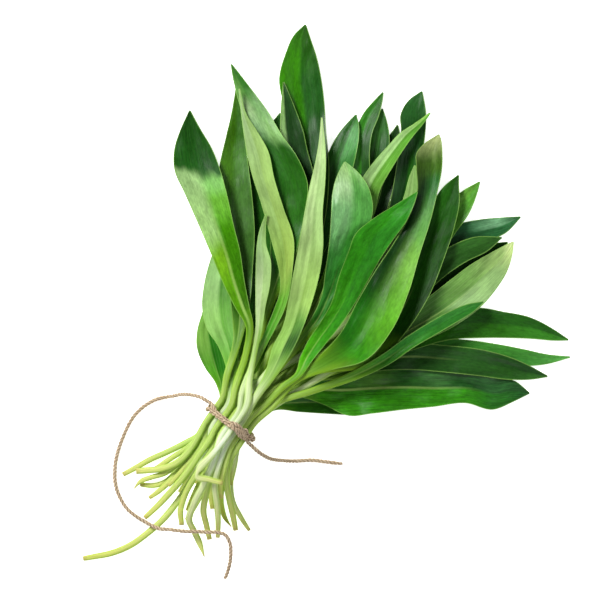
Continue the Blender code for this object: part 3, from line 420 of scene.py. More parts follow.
def leaf_grid(leaf, at, across=ACROSS):
    """The leaf before it is laid down: plan points, and heights of its top and underside
    above its midrib, each as stations by points across. Its middle rises by slope * half *
    |u| ** 1.3, u being the share of the half width. A stalk is an ellipse, and a blade is
    thicker at its midrib by exp(-(x / 1.6) ** 2), x being the millimetres from it."""
    along, left, right, is_blade = leaf_outline(leaf)
    left, right = smooth(along, left, at), smooth(along, right, at)
    blade = np.clip(smooth(along, is_blade, at), 0, 1)[:, None]
    middle = (left + right) / 2
    half = np.linalg.norm(left - right, axis=1)[:, None] / 2
    u = across[None, :]
    plan = middle[:, None] + (left - middle)[:, None] * u[..., None]
    _, foot = tie_and_foot(leaf, along)
    toward_tip = np.clip((at - foot) / (along[-1] - foot), 0, 1)[:, None]
    slope = np.where(u > 0, leaf[5][0], leaf[5][1]) * blade * (1.1 - 0.7 * toward_tip)
    rise = slope * half * np.abs(u) ** 1.3
    steep = np.sqrt(1 + (1.3 * slope) ** 2)
    round_ = np.sqrt(np.clip(1 - u * u, 0, 1))
    fullness = np.clip(half / (STALK_WIDE_HELD / 2), 0.3, 1)
    stalk_thick = RIM_THICK + (STALK_THICK - RIM_THICK) * round_ * fullness
    rib = np.exp(-((u * half / RIB_REACH) ** 2))
    blade_thick = BLADE_THICK + (MIDRIB_THICK - BLADE_THICK) * rib
    thick = (stalk_thick * (1 - blade) + blade_thick * blade) * steep
    return plan, rise + thick / 2, rise - thick / 2, u * half, blade[:, 0]


print(LEAVES[12][0], "has", len(leaf_stations(LEAVES[12], leaf_outline(LEAVES[12])[0])), "sections")

# %% The pile


class Pile:
    """The top of everything laid so far, as heights over a grid of square cells."""

    def __init__(self):
        self.low = np.array(MAP_LOW)
        size = np.ceil((np.array(MAP_HIGH) - self.low) / CELL).astype(int)
        x, y = (self.low[k] + (np.arange(size[k]) + 0.5) * CELL for k in (0, 1))
        dx, dy = x[:, None] - TIE_MIDDLE[0], y[None, :] - TIE_MIDDLE[1]
        along = np.abs(dx * BUNDLE_ALONG[0] + dy * BUNDLE_ALONG[1])
        across = np.abs(dx * TIE_ALONG[0] + dy * TIE_ALONG[1])
        at_tie = (along < UNDER_TIE_LONG) & (across < UNDER_TIE_WIDE)
        self.height = np.where(at_tie, UNDER_TIE - STALK_GAP, 0.0)

    def cell(self, plan):
        """The two indices of the cell under each plan point."""
        i = ((plan - self.low) / CELL).astype(int)
        limit = np.array(self.height.shape) - 1
        i = np.clip(i, 0, limit)
        return i[..., 0], i[..., 1]

    def support(self, plan, gap):
        """The lowest height that a surface at these plan points may have."""
        top = self.height[self.cell(plan)]
        return np.where(top > 0, top + gap, 0.0)

    def add(self, plan, top):
        """Raises the pile to these heights where it is lower."""
        np.maximum.at(self.height, self.cell(plan), top)


pile = Pile()
print("the pile's map has", pile.height.shape, "cells of", CELL, "mm")

# %% How a leaf settles on the pile


def settle(need, at, sag, stiff):
    """The lowest height of the midrib at each station that keeps the straight lines between
    them above what is needed, and bends down or up no more sharply than the leaf can."""
    times = FINE_ALONG
    away = at[:, None] - between(at, times)[None, :]
    height = (need[None, :] - between(sag, times) * away**2).max(axis=1)
    part_way = np.arange(times + 1) / times
    spans = np.stack([need[j * times:(j + 1) * times + 1] for j in range(len(at) - 1)])
    for _ in range(SETTLE_ROUNDS):
        line = height[:-1, None] * (1 - part_way) + height[1:, None] * part_way
        worst = (spans - line).argmax(axis=1)
        lack = np.maximum((spans - line)[np.arange(len(worst)), worst], 0)
        share = part_way[worst]
        lack /= (1 - share) ** 2 + share**2
        lift = np.append(lack * (1 - share), 0)
        lift[1:] = np.maximum(lift[1:], lack * share)
        height += lift
    before, after = at[1:-1] - at[:-2], at[2:] - at[1:-1]
    for _ in range(SETTLE_ROUNDS):
        level = (height[:-2] * after + height[2:] * before) / (before + after)
        height[1:-1] = np.maximum(height[1:-1], level - stiff * before * after / 2)
    return height


def lay(at, plan, top, under, aside, blade):
    """Lays a leaf on the pile, tilted sideways where that lets it lie lower, and gives the
    height of each point: that of the midrib at its station plus tilt * x."""

    def all_over(values):
        return finer(between(values, FINE_ALONG), FINE_ACROSS)

    fine = [all_over(values) for values in (plan, top, under, aside)]
    gap = between(STALK_GAP + (BLADE_GAP - STALK_GAP) * blade, FINE_ALONG)[:, None]
    need = pile.support(fine[0], gap) - fine[2]
    tilts = np.linspace(-STEEPEST_TILT, STEEPEST_TILT, TILTS_TRIED)
    wanted = np.stack([(need - t * fine[3]).max(axis=1) for t in tilts])
    cost = wanted + 0.5 * np.abs(tilts)[:, None]
    tilt = blurred(tilts[cost.argmin(axis=0)], FINE_ALONG)[::FINE_ALONG]
    tilt = tilt * np.clip(blade * 2, 0, 1)
    need = (need - all_over(tilt[:, None] * aside)).max(axis=1)
    sag = STALK_SAG + (BLADE_SAG - STALK_SAG) * blade
    stiff = STALK_STIFF + (BLADE_STIFF - STALK_STIFF) * blade
    middle = settle(need, at, sag, stiff[1:-1])
    lift = middle[:, None] + tilt[:, None] * aside
    pile.add(fine[0], fine[1] + all_over(lift))
    return lift


laid = {}
for leaf in LEAVES:
    stations = leaf_stations(leaf, leaf_outline(leaf)[0])
    plan, top, under, aside, blade = leaf_grid(leaf, stations)
    lift = lay(stations, plan, top, under, aside, blade)
    laid[leaf[0]] = stations, lift, top, under, plan
print("the pile is", round(float(pile.height.max()), 1), "mm high")

# %% [markdown]
# ## The camera, straight above
# The picture was taken from straight overhead. A long lens keeps the tall middle of the
# pile from growing against the tips that lie flat, so the outlines stay where they were
# drawn. The lens is 200 mm and the camera hangs far enough up to see 330 mm of the pile.

# %% Camera
SEEN_WIDE = 0.33
SEEN_AT_HEIGHT = 0.012
LENS = 200.0
SENSOR_WIDE = 36.0
MIDDLE_OF_VIEW = (38.5, 66.55)


def in_part(points):
    """Points in the part's frame, in metres, from millimetres from the middle of the tie."""
    points = np.asarray(points, float)
    return (points + np.array([TIE_AT[0], TIE_AT[1], 0.0])) * MM


scene = bpy.context.scene
camera = bpy.data.objects.new("camera", bpy.data.cameras.new("camera"))
camera.data.lens = LENS
camera.data.sensor_width = SENSOR_WIDE
camera_height = SEEN_WIDE * LENS / SENSOR_WIDE + SEEN_AT_HEIGHT
camera.location = (*in_part((*MIDDLE_OF_VIEW, 0.0))[:2], camera_height)
scene.collection.objects.link(camera)
scene.camera = camera
print("camera", round(camera_height, 2), "m up, over", [round(c, 4) for c in camera.location[:2]])

# %% [markdown]
# ## Colour and nodes
# A hex colour is what a picture editor shows, and Blender's sockets want linear light, so
# one function turns one into the other. Another adds a node with its settings and links,
# which keeps each finish short enough to read.

# %% Helpers for finishes
EVERY = slice(None)
COLOURS = {"data_type": "RGBA"}
MULTIPLIED = {"data_type": "RGBA", "blend_type": "MULTIPLY"}


def linear(code):
    """A hex colour as linear red, green, blue and 1: each part is (c + 0.055) / 1.055 to
    the power 2.4, or c / 12.92 where it is very dark."""
    parts = [int(code[i:i + 2], 16) / 255 for i in (1, 3, 5)]
    return [c / 12.92 if c <= 0.04045 else ((c + 0.055) / 1.055) ** 2.4 for c in parts] + [1.0]


def fill(tree, socket, value):
    """Links an output to a socket, or sets the socket to a number or to a hex colour."""
    if isinstance(value, bpy.types.NodeSocket):
        tree.links.new(value, socket)
    else:
        socket.default_value = linear(value) if isinstance(value, str) else value


def add_node(tree, kind, values=(), output=0, stops=(), **settings):
    """Adds a node and gives one of its outputs, or EVERY one. values fill the sockets in
    use, in order, or by name from a dict; stops are a ramp's (position, hex colour) pairs."""
    made = tree.nodes.new("ShaderNode" + kind)
    for name, value in settings.items():
        setattr(made, name, value)
    sockets = [socket for socket in made.inputs if socket.enabled]
    if isinstance(values, dict):
        sockets = [made.inputs[name] for name in values]
        values = values.values()
    for socket, value in zip(sockets, values):
        fill(tree, socket, value)
    if stops:
        made.color_ramp.interpolation = "EASE"
        points = made.color_ramp.elements
        while len(points) < len(stops):
            points.new(0.5)
        for point, (position, code) in zip(points, stops):
            point.position = position
            point.color = linear(code)
    return [socket for socket in made.outputs if socket.enabled][output]


def new_finish(name):
    """An empty material of this name: its node tree and its Principled shader."""
    made = bpy.data.materials.new(name)
    made.use_nodes = True
    return made, made.node_tree, made.node_tree.nodes["Principled BSDF"]


print("jute in linear light:", [round(c, 3) for c in linear("#b08a66")[:3]])

# %% [markdown]
# ## Jute twine
# Jute twine is three strands of coarse fibre twisted together, pale brown, dull and hairy.
# A plain tube with a striped picture on it would look like wire. Each strand is a tube of
# its own that winds round the middle line, so the grooves between them are real, and a few
# hundred stray fibres stick out.

# %% The finish of jute


def jute_finish():
    """Raw jute: the bark fibre of a plant, spun and left undyed. It is matt all over, and no two
    bundles of fibre have the same brown. Painted shade makes it dark in the grooves and pale
    where the strands stand out. The piece's attribute `lay` holds the way along and round each
    strand, in millimetres, and how far each point faces out of the grooves, which sets the
    painted shade. A real fibre is 0.02 mm thick, too fine to show, so they are drawn as
    bundles 0.25 mm apart and 3 mm long, over patches of 5 mm."""
    made, tree, shader = new_finish("raw_jute_twine_three_strands")
    lay_of = add_node(tree, "Attribute", output=1, attribute_name="lay")
    painted_groove_shade = add_node(tree, "SeparateXYZ", [lay_of], output=2)
    fibre = add_node(tree, "Mapping", {"Vector": lay_of, "Scale": (0.35, 4.0, 1.0)})
    grain = add_node(tree, "TexNoise", {"Vector": fibre, "Scale": 1.0, "Detail": 3.0})
    patch = add_node(tree, "TexNoise", {"Vector": lay_of, "Scale": 0.2, "Detail": 2.0})
    fibres = add_node(tree, "MapRange", [grain, 0.32, 0.68])
    base = add_node(tree, "Mix", [fibres, "#8f7356", "#f0dfc0"], **COLOURS)
    share = add_node(tree, "Math", [patch, 0.5], operation="MULTIPLY")
    worn = add_node(tree, "Mix", [share, base, "#bc9c7c"], **COLOURS)
    # Painted shade: dark brown in the grooves, from how far each point faces out.
    groove = add_node(tree, "Mix", [painted_groove_shade, "#54402a", worn], **COLOURS)
    bump = add_node(tree, "Bump", {"Height": grain, "Distance": 0.0002, "Strength": 0.6})
    fill(tree, shader.inputs["Base Color"], groove)
    fill(tree, shader.inputs["Roughness"], 0.9)
    fill(tree, shader.inputs["Specular IOR Level"], 0.25)
    fill(tree, shader.inputs["Normal"], bump)
    return made


JUTE = jute_finish()
print("finish", JUTE.name, "has", len(JUTE.node_tree.nodes), "nodes")

# %% Lines, and the frames carried along them
STRANDS = 3
STRAND_PITCH = 6.6
SIDES = 9


def frames(line, closed=False):
    """Unit vectors ahead, sideways and up along a line. The sideways one is carried from
    point to point without twisting: side = side before, less its part along the line."""
    if closed:
        ahead = np.roll(line, -1, axis=0) - np.roll(line, 1, axis=0)
    else:
        ahead = np.gradient(line, axis=0)
    ahead = ahead / np.linalg.norm(ahead, axis=1, keepdims=True)
    side = np.cross(ahead, (0.31, 0.17, 0.93))
    for i in range(1, len(line)):
        side[i] = side[i - 1] - ahead[i] * (side[i - 1] @ ahead[i])
        side[i] /= np.linalg.norm(side[i])
    side[0] /= np.linalg.norm(side[0])
    return ahead, side, np.cross(ahead, side)


def spaced(line, step, closed=False):
    """The same line on a smooth curve, with its points this far apart."""
    line = np.asarray(line, float)
    if closed:
        line = np.concatenate([line[-3:], line, line[:4]])
    along = chord(line)
    first, last = (along[3], along[-4]) if closed else (0.0, along[-1])
    count = max(3, round((last - first) / step) + 1)
    at = np.linspace(first, last, count)
    return smooth(along, line, at[:-1] if closed else at)


def slip_of(last_side, step, side, up):
    """How far a carried frame has turned when it comes round to the start of a closed line:
    the angle of the last side, less its part along the closing step, in the first frame."""
    step = step / np.linalg.norm(step)
    carried = last_side - step * (last_side @ step)
    return math.atan2(carried @ up, carried @ side)


def grid_faces(rows, columns, closed_rows=False):
    """Four-sided faces of tubes whose points run round each ring, ring after ring."""
    last = rows if closed_rows else rows - 1
    i, j = np.meshgrid(np.arange(last), np.arange(columns), indexing="ij")
    k, m = (i + 1) % rows, (j + 1) % columns
    corners = (i * columns + j, i * columns + m, k * columns + m, k * columns + j)
    return np.stack(corners, axis=-1).reshape(-1, 4)


print("a ring of", SIDES, "points has", len(grid_faces(2, SIDES)), "faces to the next one")

# %% Strands wound round a line
TAPER = 4


def strands(line, diameter, closed=False, ends=(1.0, 1.0)):
    """Points, faces and lay of a twisted cord along a line. A strand's middle is the line
    plus (0.5 radius) * (side * cos(turn) + up * sin(turn)), where the turn grows by a whole
    circle each pitch; its own radius is 0.5 of the cord's and swells a little with its
    fibres. ends narrows each end to this share."""
    radius = diameter / 2
    _, side, up = frames(line, closed)
    along = chord(line)
    total = along[-1]
    turns_made = total / STRAND_PITCH
    slip = 0.0
    if closed:
        total = total + np.linalg.norm(line[0] - line[-1])
        turns_made = round(total / STRAND_PITCH * STRANDS) / STRANDS
        slip = slip_of(side[-1], line[0] - line[-1], side[0], up[0])
    turn = (turns_made * math.tau - slip) * along / total
    places = [0, TAPER, max(along[-1] - TAPER, TAPER + 1), along[-1] + 6]
    thick = 0.5 * radius * np.interp(along, places, [ends[0], 1, 1, ends[1]])[:, None]
    around = np.arange(SIDES) * math.tau / SIDES
    points, faces, lay_of = [], [], []
    for strand in range(STRANDS):
        phase = (turn + strand * math.tau / STRANDS)[:, None]
        out = side * np.cos(phase) + up * np.sin(phase)
        middle = line + out * thick
        _, across, over = frames(middle, closed)
        drift = slip_of(across[-1], middle[0] - middle[-1], across[0], over[0]) if closed else 0.0
        angle = around[None, :] - (drift * along / total)[:, None]
        if closed:
            swell = 1 + 0.07 * np.sin(angle * 3)
        else:
            lumps = 0.10 * np.sin(along * 1.7 + strand * 2.1)[:, None]
            swell = 1 + lumps * np.sin(angle * 3 + along[:, None] * 0.9)
        turned = angle[..., None]
        ring = across[:, None] * np.cos(turned) + over[:, None] * np.sin(turned)
        shell = middle[:, None] + ring * (thick * swell)[..., None]
        # How far each point faces out of the grooves between strands: the jute finish paints shade where
        # this is low.
        groove_shade_mask = np.clip((ring * out[:, None]).sum(axis=2) * 1.3 + 0.25, 0, 1)
        place = (along[:, None], angle * 0.5 * radius + strand * 9, groove_shade_mask)
        points.append(shell.reshape(-1, 3))
        lay_of.append(np.stack(np.broadcast_arrays(*place), axis=-1).reshape(-1, 3))
        start = strand * len(line) * SIDES
        faces.append(grid_faces(len(line), SIDES, closed) + start)
        if closed:
            continue
        first = np.arange(SIDES)[::-1] + start
        last = np.arange(SIDES) + start + (len(line) - 1) * SIDES
        for cap in (first, last):
            corner = np.full(SIDES - 2, cap[0])
            faces.append(np.stack([corner, cap[1:-1], cap[2:], cap[2:]], axis=1))
    return np.concatenate(points), np.concatenate(faces), np.concatenate(lay_of)


print(STRANDS, "strands, one turn every", STRAND_PITCH, "mm")

# %% Stray fibres
FIBRE_THICK = 0.045
FIBRE_STEPS = 5


def stray_fibres(line, diameter, count, seed, longest=1.9):
    """Hairs that stand off a cord. Each is a thin three-sided tube that leaves the surface
    and bends over: its place is start + out * r + ahead * s, with r rising as a square root."""
    rng = np.random.default_rng(seed)
    ahead, side, up = frames(line)
    i = rng.integers(2, len(line) - 3, count)
    turn = rng.uniform(0, math.tau, count)
    out = side[i] * np.cos(turn)[:, None] + up[i] * np.sin(turn)[:, None]
    flat = rng.uniform(-1, 1, count)[:, None]
    sweep = np.cross(ahead[i], out) * flat + ahead[i] * rng.choice([-1, 1], count)[:, None]
    long_ = rng.uniform(0.5, longest, count)[:, None, None]
    t = np.linspace(0, 1, FIBRE_STEPS)[None, :, None]
    lift = rng.uniform(0.25, 1, count)[:, None, None]
    reach = diameter * 0.42 + long_ * 0.62 * np.sqrt(t) * lift
    middle = line[i][:, None] + out[:, None] * reach + sweep[:, None] * long_ * t
    corner = (np.arange(3) * math.tau / 3)[:, None]
    flatwise = np.cross(sweep, out)
    flatwise /= np.linalg.norm(flatwise, axis=1, keepdims=True)
    ring = out[:, None, None] * np.cos(corner) + flatwise[:, None, None] * np.sin(corner)
    points = middle[:, :, None] + ring * (FIBRE_THICK * (1.15 - t))[..., None]
    each = FIBRE_STEPS * 3
    caps = [[2, 1, 0, 0], [each - 3, each - 2, each - 1, each - 1]]
    one = np.concatenate([grid_faces(FIBRE_STEPS, 3), caps])
    faces = one[None] + (np.arange(count) * each)[:, None, None]
    shade = rng.uniform(0, 40, count)[:, None, None]
    lay_of = np.stack(np.broadcast_arrays(t * 2, shade, np.ones((1, 1, 3))), axis=-1)
    return points.reshape(-1, 3), faces.reshape(-1, 4), lay_of.reshape(-1, 3)


def merged(*shapes):
    """Several (points, faces, lay) as one."""
    starts = np.cumsum([0] + [len(shape[0]) for shape in shapes[:-1]])
    faces = [shape[1] + start for shape, start in zip(shapes, starts)]
    points, lay_of = (np.concatenate([shape[k] for shape in shapes]) for k in (0, 2))
    return points, np.concatenate(faces), lay_of


print("a stray fibre has", FIBRE_STEPS * 3, "points")

# %% From arrays to a piece


def piece(name, points, faces, finish, attributes):
    """A mesh object at the origin from points in millimetres from the tie. A face whose
    third and fourth corner are the same is a triangle."""
    faces = np.asarray(faces)
    is_triangle = faces[:, 2] == faces[:, 3]
    fours, threes = faces[~is_triangle], faces[is_triangle][:, :3]
    corners = np.concatenate([fours.reshape(-1), threes.reshape(-1)])
    sizes = np.concatenate([np.full(len(fours), 4), np.full(len(threes), 3)])
    starts = np.concatenate([[0], np.cumsum(sizes)[:-1]])
    mesh = bpy.data.meshes.new(name)
    mesh.vertices.add(len(points))
    mesh.vertices.foreach_set("co", in_part(points).reshape(-1))
    mesh.loops.add(len(corners))
    mesh.loops.foreach_set("vertex_index", corners.astype(np.int32))
    mesh.polygons.add(len(sizes))
    mesh.polygons.foreach_set("loop_start", starts.astype(np.int32))
    mesh.polygons.foreach_set("loop_total", sizes.astype(np.int32))
    mesh.update(calc_edges=True)
    mesh.validate()
    mesh.polygons.foreach_set("use_smooth", np.ones(len(mesh.polygons), bool))
    for title, values in attributes.items():
        made = mesh.attributes.new(title, "FLOAT_VECTOR", "POINT")
        made.data.foreach_set("vector", np.asarray(values, float).reshape(-1))
    mesh.materials.append(finish)
    obj = bpy.data.objects.new(name, mesh)
    scene.collection.objects.link(obj)
    return obj


print("the middle of the tie is at", in_part((0, 0, 0)), "in the part")

# %% [markdown]
# ## Where the twine runs
# The tie hugs the stalks, so its two turns are found from the section of the leaves laid
# above. A loose end lies where it is dropped: it leaves the tie, falls to the table in an
# arc and then follows the points drawn for it, over what it crosses in long low humps. Its
# length is the length seen in the picture, and its end is a plain cut, a little frayed.

# %% The stalks inside the tie
AT_TIE_LONG = 3.4
AT_TIE_WIDE = 18


def resampled(points, step, closed=False):
    """The same line with its points this far apart."""
    points = np.asarray(points, float)
    if closed:
        points = np.concatenate([points, points[:1]])
    along = chord(points)
    count = max(2, round(along[-1] / step)) + 1
    at = np.linspace(0, along[-1], count)[: -1 if closed else None]
    return np.stack([np.interp(at, along, column) for column in points.T], axis=1)


def bundle_section(rings):
    """The stalks where the tie goes round them, as points (across, height)."""
    found = []
    for ring in rings:
        points = between(ring, FINE_ACROSS).reshape(-1, 3)
        dx, dy = points[:, 0] - TIE_MIDDLE[0], points[:, 1] - TIE_MIDDLE[1]
        near = np.abs(dx * BUNDLE_ALONG[0] + dy * BUNDLE_ALONG[1]) < AT_TIE_LONG
        across = dx * TIE_ALONG[0] + dy * TIE_ALONG[1]
        near &= np.abs(across) < AT_TIE_WIDE
        found.append(np.stack([across, points[:, 2]], axis=1)[near])
    return np.concatenate(found)


def round_the_bundle(section, away):
    """A closed line round the stalks at this distance, as points (across, height): for each
    direction the stalk that reaches farthest that way, and the distance beyond it."""
    angle = np.arange(180) * math.tau / 180
    out = np.stack([np.cos(angle), np.sin(angle)], axis=1)
    touch = section[(section @ out.T).argmax(axis=0)]
    return resampled(touch + out * away, 1.0, closed=True)


def tie_place(across, height, along):
    """Points of the tie from their place across the bundle, height and place along it."""
    x = TIE_MIDDLE[0] + TIE_ALONG[0] * across + BUNDLE_ALONG[0] * along
    y = TIE_MIDDLE[1] + TIE_ALONG[1] * across + BUNDLE_ALONG[1] * along
    return np.stack([x, y, height], axis=-1)


def crossing(leaf):
    """The points of a laid leaf's surface, in rings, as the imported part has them."""
    _, lift, top, under, plan = laid[leaf]
    upper = np.concatenate([plan, (lift + top)[..., None]], axis=2)
    lower = np.concatenate([plan, (lift + under)[..., None]], axis=2)
    return np.concatenate([upper, lower[:, ::-1]], axis=1)


bundle = bundle_section([crossing(leaf[0]) for leaf in LEAVES])
print("the stalks at the tie are", np.round(np.ptp(bundle, axis=0)), "mm wide and high")

# %% Two turns round the stalks, and the shoulder for the knot
ROPE_PITCH = 5.6
ROPE_HALF = 0.85


def turns(section):
    """The two turns of the twine. They lie side by side below, and on top they wind round
    each other: each is half the rope's width from its middle, at an angle that grows by a
    whole circle every ROPE_PITCH."""
    middle = round_the_bundle(section, TWINE_THICK / 2 + TIE_CLEAR)
    centre = (middle.min(axis=0) + middle.max(axis=0)) / 2
    out = middle - centre
    out /= np.linalg.norm(out, axis=1, keepdims=True)
    on_top = np.clip((out[:, 1] + 0.1) / 0.35, 0, 1)
    way = np.where(on_top > 0, 1.0, 0.0)
    way = np.cumsum(np.roll(way, -int(np.argmin(out[:, 1]))))
    way = np.roll(way, int(np.argmin(out[:, 1])))
    twist = way / way.max() * math.tau * round(way.max() / ROPE_PITCH)
    found = []
    for sign in (1, -1):
        aside = sign * ((1 - on_top) * TWINE_THICK * 0.52 + on_top * ROPE_HALF * np.cos(twist))
        lift = on_top * (ROPE_HALF + sign * ROPE_HALF * np.sin(twist))
        line = middle + out * lift[:, None]
        found.append(tie_place(line[:, 0], line[:, 1], aside))
    return found


bands = turns(bundle)
shoulder_line = round_the_bundle(bundle, TWINE_THICK / 2 + TIE_CLEAR + 0.9)
shoulder_line = shoulder_line[shoulder_line[:, 1] > shoulder_line[:, 1].mean()]
shoulder = shoulder_line[np.abs(shoulder_line[:, 0] - KNOT_ACROSS).argmin()]
print("the knot is", round(float(shoulder[1]), 1), "mm above the table")

# %% Where a loose end runs
CLEAR_OF_TABLE = 0.05
CLEAR_OF_STALKS = 0.6
FREE_START = 6


def tail_route(pile, plan, start, away):
    """A loose end's centre line: from its start height down to the table, and over what
    lies under it in long low humps. It falls as start - fall * s ** 2 for the first half
    and levels out as the same curve upside down."""
    radius = TAIL_THICK / 2
    plan = np.array(plan, float)
    along = chord(plan)
    at = np.linspace(0, along[-1], int(along[-1]) + 1)
    line = smooth(along, plan, at)
    side = left_of(line)
    lowest = radius + CLEAR_OF_TABLE
    need = np.full(len(at), lowest)
    for u in np.linspace(-1, 1, 7):
        top = pile.height[pile.cell(line + side * u * (radius + 0.4))]
        round_ = radius * math.sqrt(1 - 0.8 * u * u)
        need = np.maximum(need, np.where(top > 0, top + CLEAR_OF_STALKS + round_, 0))
    need[at < FREE_START] = radius
    gap = np.abs(at[:, None] - at[None, :])
    height = np.maximum((need[None, :] - TAIL_SAG * gap**2).max(axis=1), lowest)
    fall = start - TAIL_FALL * at**2
    bottom = at[np.argmax(fall < (start + radius) / 2)]
    rise = radius + TAIL_FALL * np.clip(2 * bottom - at, 0, None) ** 2
    height = np.maximum(height, np.where(at < bottom, fall, rise))
    soft = blurred(height, 3)
    soft = np.maximum(soft, lowest) + blurred(np.maximum(need - soft, 0), 2)
    soft[0] = start
    route = np.concatenate([line, soft[:, None]], axis=1)
    return resampled(route, away)


# The long end leaves the tie on its left, a little below the highest point of the turn
# there, and the short one from under the knot. Their points are ROUTE_STEP apart.
ROUTE_STEP = 5.4
HIGH_ABOVE = 30
LONG_BELOW_TOP = 1.5
SHORT_BELOW_KNOT = 5
above_left = np.array(LONG_TAIL[0] + (HIGH_ABOVE,))
left_top = bands[1][np.linalg.norm(bands[1] - above_left, axis=1).argmin()]
long_route = tail_route(pile, LONG_TAIL, left_top[2] - LONG_BELOW_TOP, ROUTE_STEP)
short_route = tail_route(pile, SHORT_TAIL, shoulder[1] - SHORT_BELOW_KNOT, ROUTE_STEP)
LOOSE_ENDS = (
    ("long_loose_end", "twine_tail_long", long_route),
    ("short_loose_end", "twine_tail_short", short_route),
)
print("the loose ends run", [round(chord(route)[-1]) for *_, route in LOOSE_ENDS], "mm")

# %% The two loose ends
LINE_STEP = 0.6
HAIRS_EACH_MM = 4.0
LAST_SHARE = (0.85, 0.4)
ABOVE_TABLE = 0.03
for seed, (name, node, route) in enumerate(LOOSE_ENDS):
    line = spaced(route, LINE_STEP)
    twisted = strands(line, TAIL_THICK, ends=(1.0, LAST_SHARE[seed]))
    hairs = stray_fibres(line, TAIL_THICK, int(HAIRS_EACH_MM * chord(line)[-1]), seed + 3)
    points, faces, lay_of = merged(twisted, hairs)
    points[:, 2] = np.maximum(points[:, 2], ABOVE_TABLE)
    cord = piece(name, points, faces, JUTE, {"lay": lay_of})
    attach(cord, "root")
    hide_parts(node)

# %% [markdown]
# ## The tie
# The twine goes round the stalks twice, the turns twist round each other on top, and it is
# knotted on the right shoulder of the bundle. The same winding strands as on the loose ends
# are carried along each turn, each loop of the knot and the first stretch of each end.

# %% Turns, knot and the start of each loose end
# Each loop of the knot: its place across, its reach, its place along, its half width, its
# height, how far it stands up on one side, and how far it is turned.
KNOT_RINGS = (
    (-3.2, 4.6, 0.5, 1.25, 1.3, 0.2, -0.16),
    (-0.6, 3.0, -0.7, 1.35, 0.9, 0.3, -0.28),
    (1.3, 0.9, -0.1, 2.5, -0.4, 1.3, 0.35),
)
LOOP_POINTS = 14
LOOP_STEP = 0.5
TIE_HAIRS = 180
SHORT_HAIR = 1.5


def knot_loops(start, line):
    """Three small loops of twine. Each is a turned ellipse, reach * cos a by wide * sin a,
    on the round top of the bundle, with a height that grows by stand * sin a."""
    loops = []
    line = line[np.argsort(line[:, 0])]
    for across, reach, along, wide, up, stand, turn in KNOT_RINGS:
        angle = np.arange(LOOP_POINTS) * math.tau / LOOP_POINTS
        long_way, short_way = reach * np.cos(angle), wide * np.sin(angle)
        x = start[0] + across + long_way * math.cos(turn) - short_way * math.sin(turn)
        y = along + long_way * math.sin(turn) + short_way * math.cos(turn)
        height = np.interp(x, line[:, 0], line[:, 1]) + up + stand * np.sin(angle)
        loops.append(tie_place(x, height, y))
    return loops


band_lines = [spaced(band, LINE_STEP, closed=True) for band in bands]
loop_lines = [spaced(loop, LOOP_STEP, closed=True) for loop in knot_loops(shoulder, shoulder_line)]
tied = [strands(line, TWINE_THICK, closed=True) for line in band_lines + loop_lines]
for *_, route in LOOSE_ENDS:
    ahead = (route[1] - route[0]) / np.linalg.norm(route[1] - route[0])
    end = route[0] - ahead * TAIL_GAP
    near = np.concatenate(bands)
    root = near[np.linalg.norm(near - (end - ahead * STUB_LONG), axis=1).argmin()]
    tied.append(strands(spaced([root, end - ahead * 1.5, end], LOOP_STEP), TWINE_THICK))
for seed, line in enumerate(band_lines):
    tied.append(stray_fibres(line, TWINE_THICK, TIE_HAIRS, seed + 11, SHORT_HAIR))
tie_points, tie_faces, tie_lay = merged(*tied)
tie_points[:, 2] = np.maximum(tie_points[:, 2], ABOVE_TABLE)
tie = piece("tie_with_knot", tie_points, tie_faces, JUTE, {"lay": tie_lay})
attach(tie, "root")
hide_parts("twine_tie")
print("the tie is", round(float(tie_points[:, 2].max()), 1), "mm high")

# %% [markdown]
# ## The surface of a leaf
# A wild garlic leaf has one keeled midrib and a dozen or more fine veins that run beside
# it from stalk to tip and meet there. The upper face is waxy: dark green, with a broad soft
# shine. The underside is paler, because air lies under its skin, and nearly without shine.
# Each leaf carries two attributes of its own, so that the pattern follows its bends:
# `place` holds the distance from the midrib and along the leaf in millimetres and the share
# of the half width, and `part` says how much it is blade, how far it has grown, from -1 at
# the cut through 0 at the foot of the blade to 1 at the tip, and how far the rim is.

# %% What differs from face to face and from leaf to leaf
# Each noise: its scale across and along the leaf, how far it moves for each letter of the
# leaf's name, and its detail. So clouds are 8 mm wide and 20 mm long, streaks 0.6 by 17 mm,
# pores 1 by 2.5 mm and dents 7 by 17 mm. Real pores and cells are 0.03 mm wide, far too fine
# to show, so they are drawn as coarse as the grain of the picture.
NOISES = {
    "cloud": ((0.12, 0.05, 0.0), (1.7, 3.0, 0.0), 1.5),
    "streak": ((1.6, 0.06, 0.0), (0.0, 0.0, 0.0), 3.0),
    "pores": ((1.0, 0.4, 1.0), (0.0, 0.0, 0.0), 4.0),
    "waves": ((0.15, 0.06, 0.0), (2.0, 1.3, 0.0), 1.0),
}
# Veins across the whole blade: on one 25 mm wide they are 2.8 mm and 0.8 mm apart, as the
# stronger and the finer ones of a real leaf are.
STRONG_VEINS = 9.0
FINE_VEINS = 30.0

# By face: how strongly veins and midrib show, the colour of the veins, a tint over it all,
# the least and most that the pores lighten it, its roughness and its shine.
VEIN_SHOWS = {"upper": 0.025, "under": 0.05}
VEIN_COLOUR = {"upper": "#7fb048", "under": "#dcecb4"}
RIB_SHOWS = {"upper": 0.42, "under": 0.3}
TINT = {"upper": (0.92, 0.985, 0.72, 1.0), "under": (1.12, 1.1, 1.02, 1.0)}
GRAIN = {"upper": (0.86, 1.14), "under": (0.93, 1.06)}
ROUGHNESS = {"upper": (0.3, 0.44), "under": (0.5, 0.62)}
GLOSS = {"upper": 0.22, "under": 0.16}
SURFACE = {"upper": "waxy_upper_face", "under": "dull_underside"}
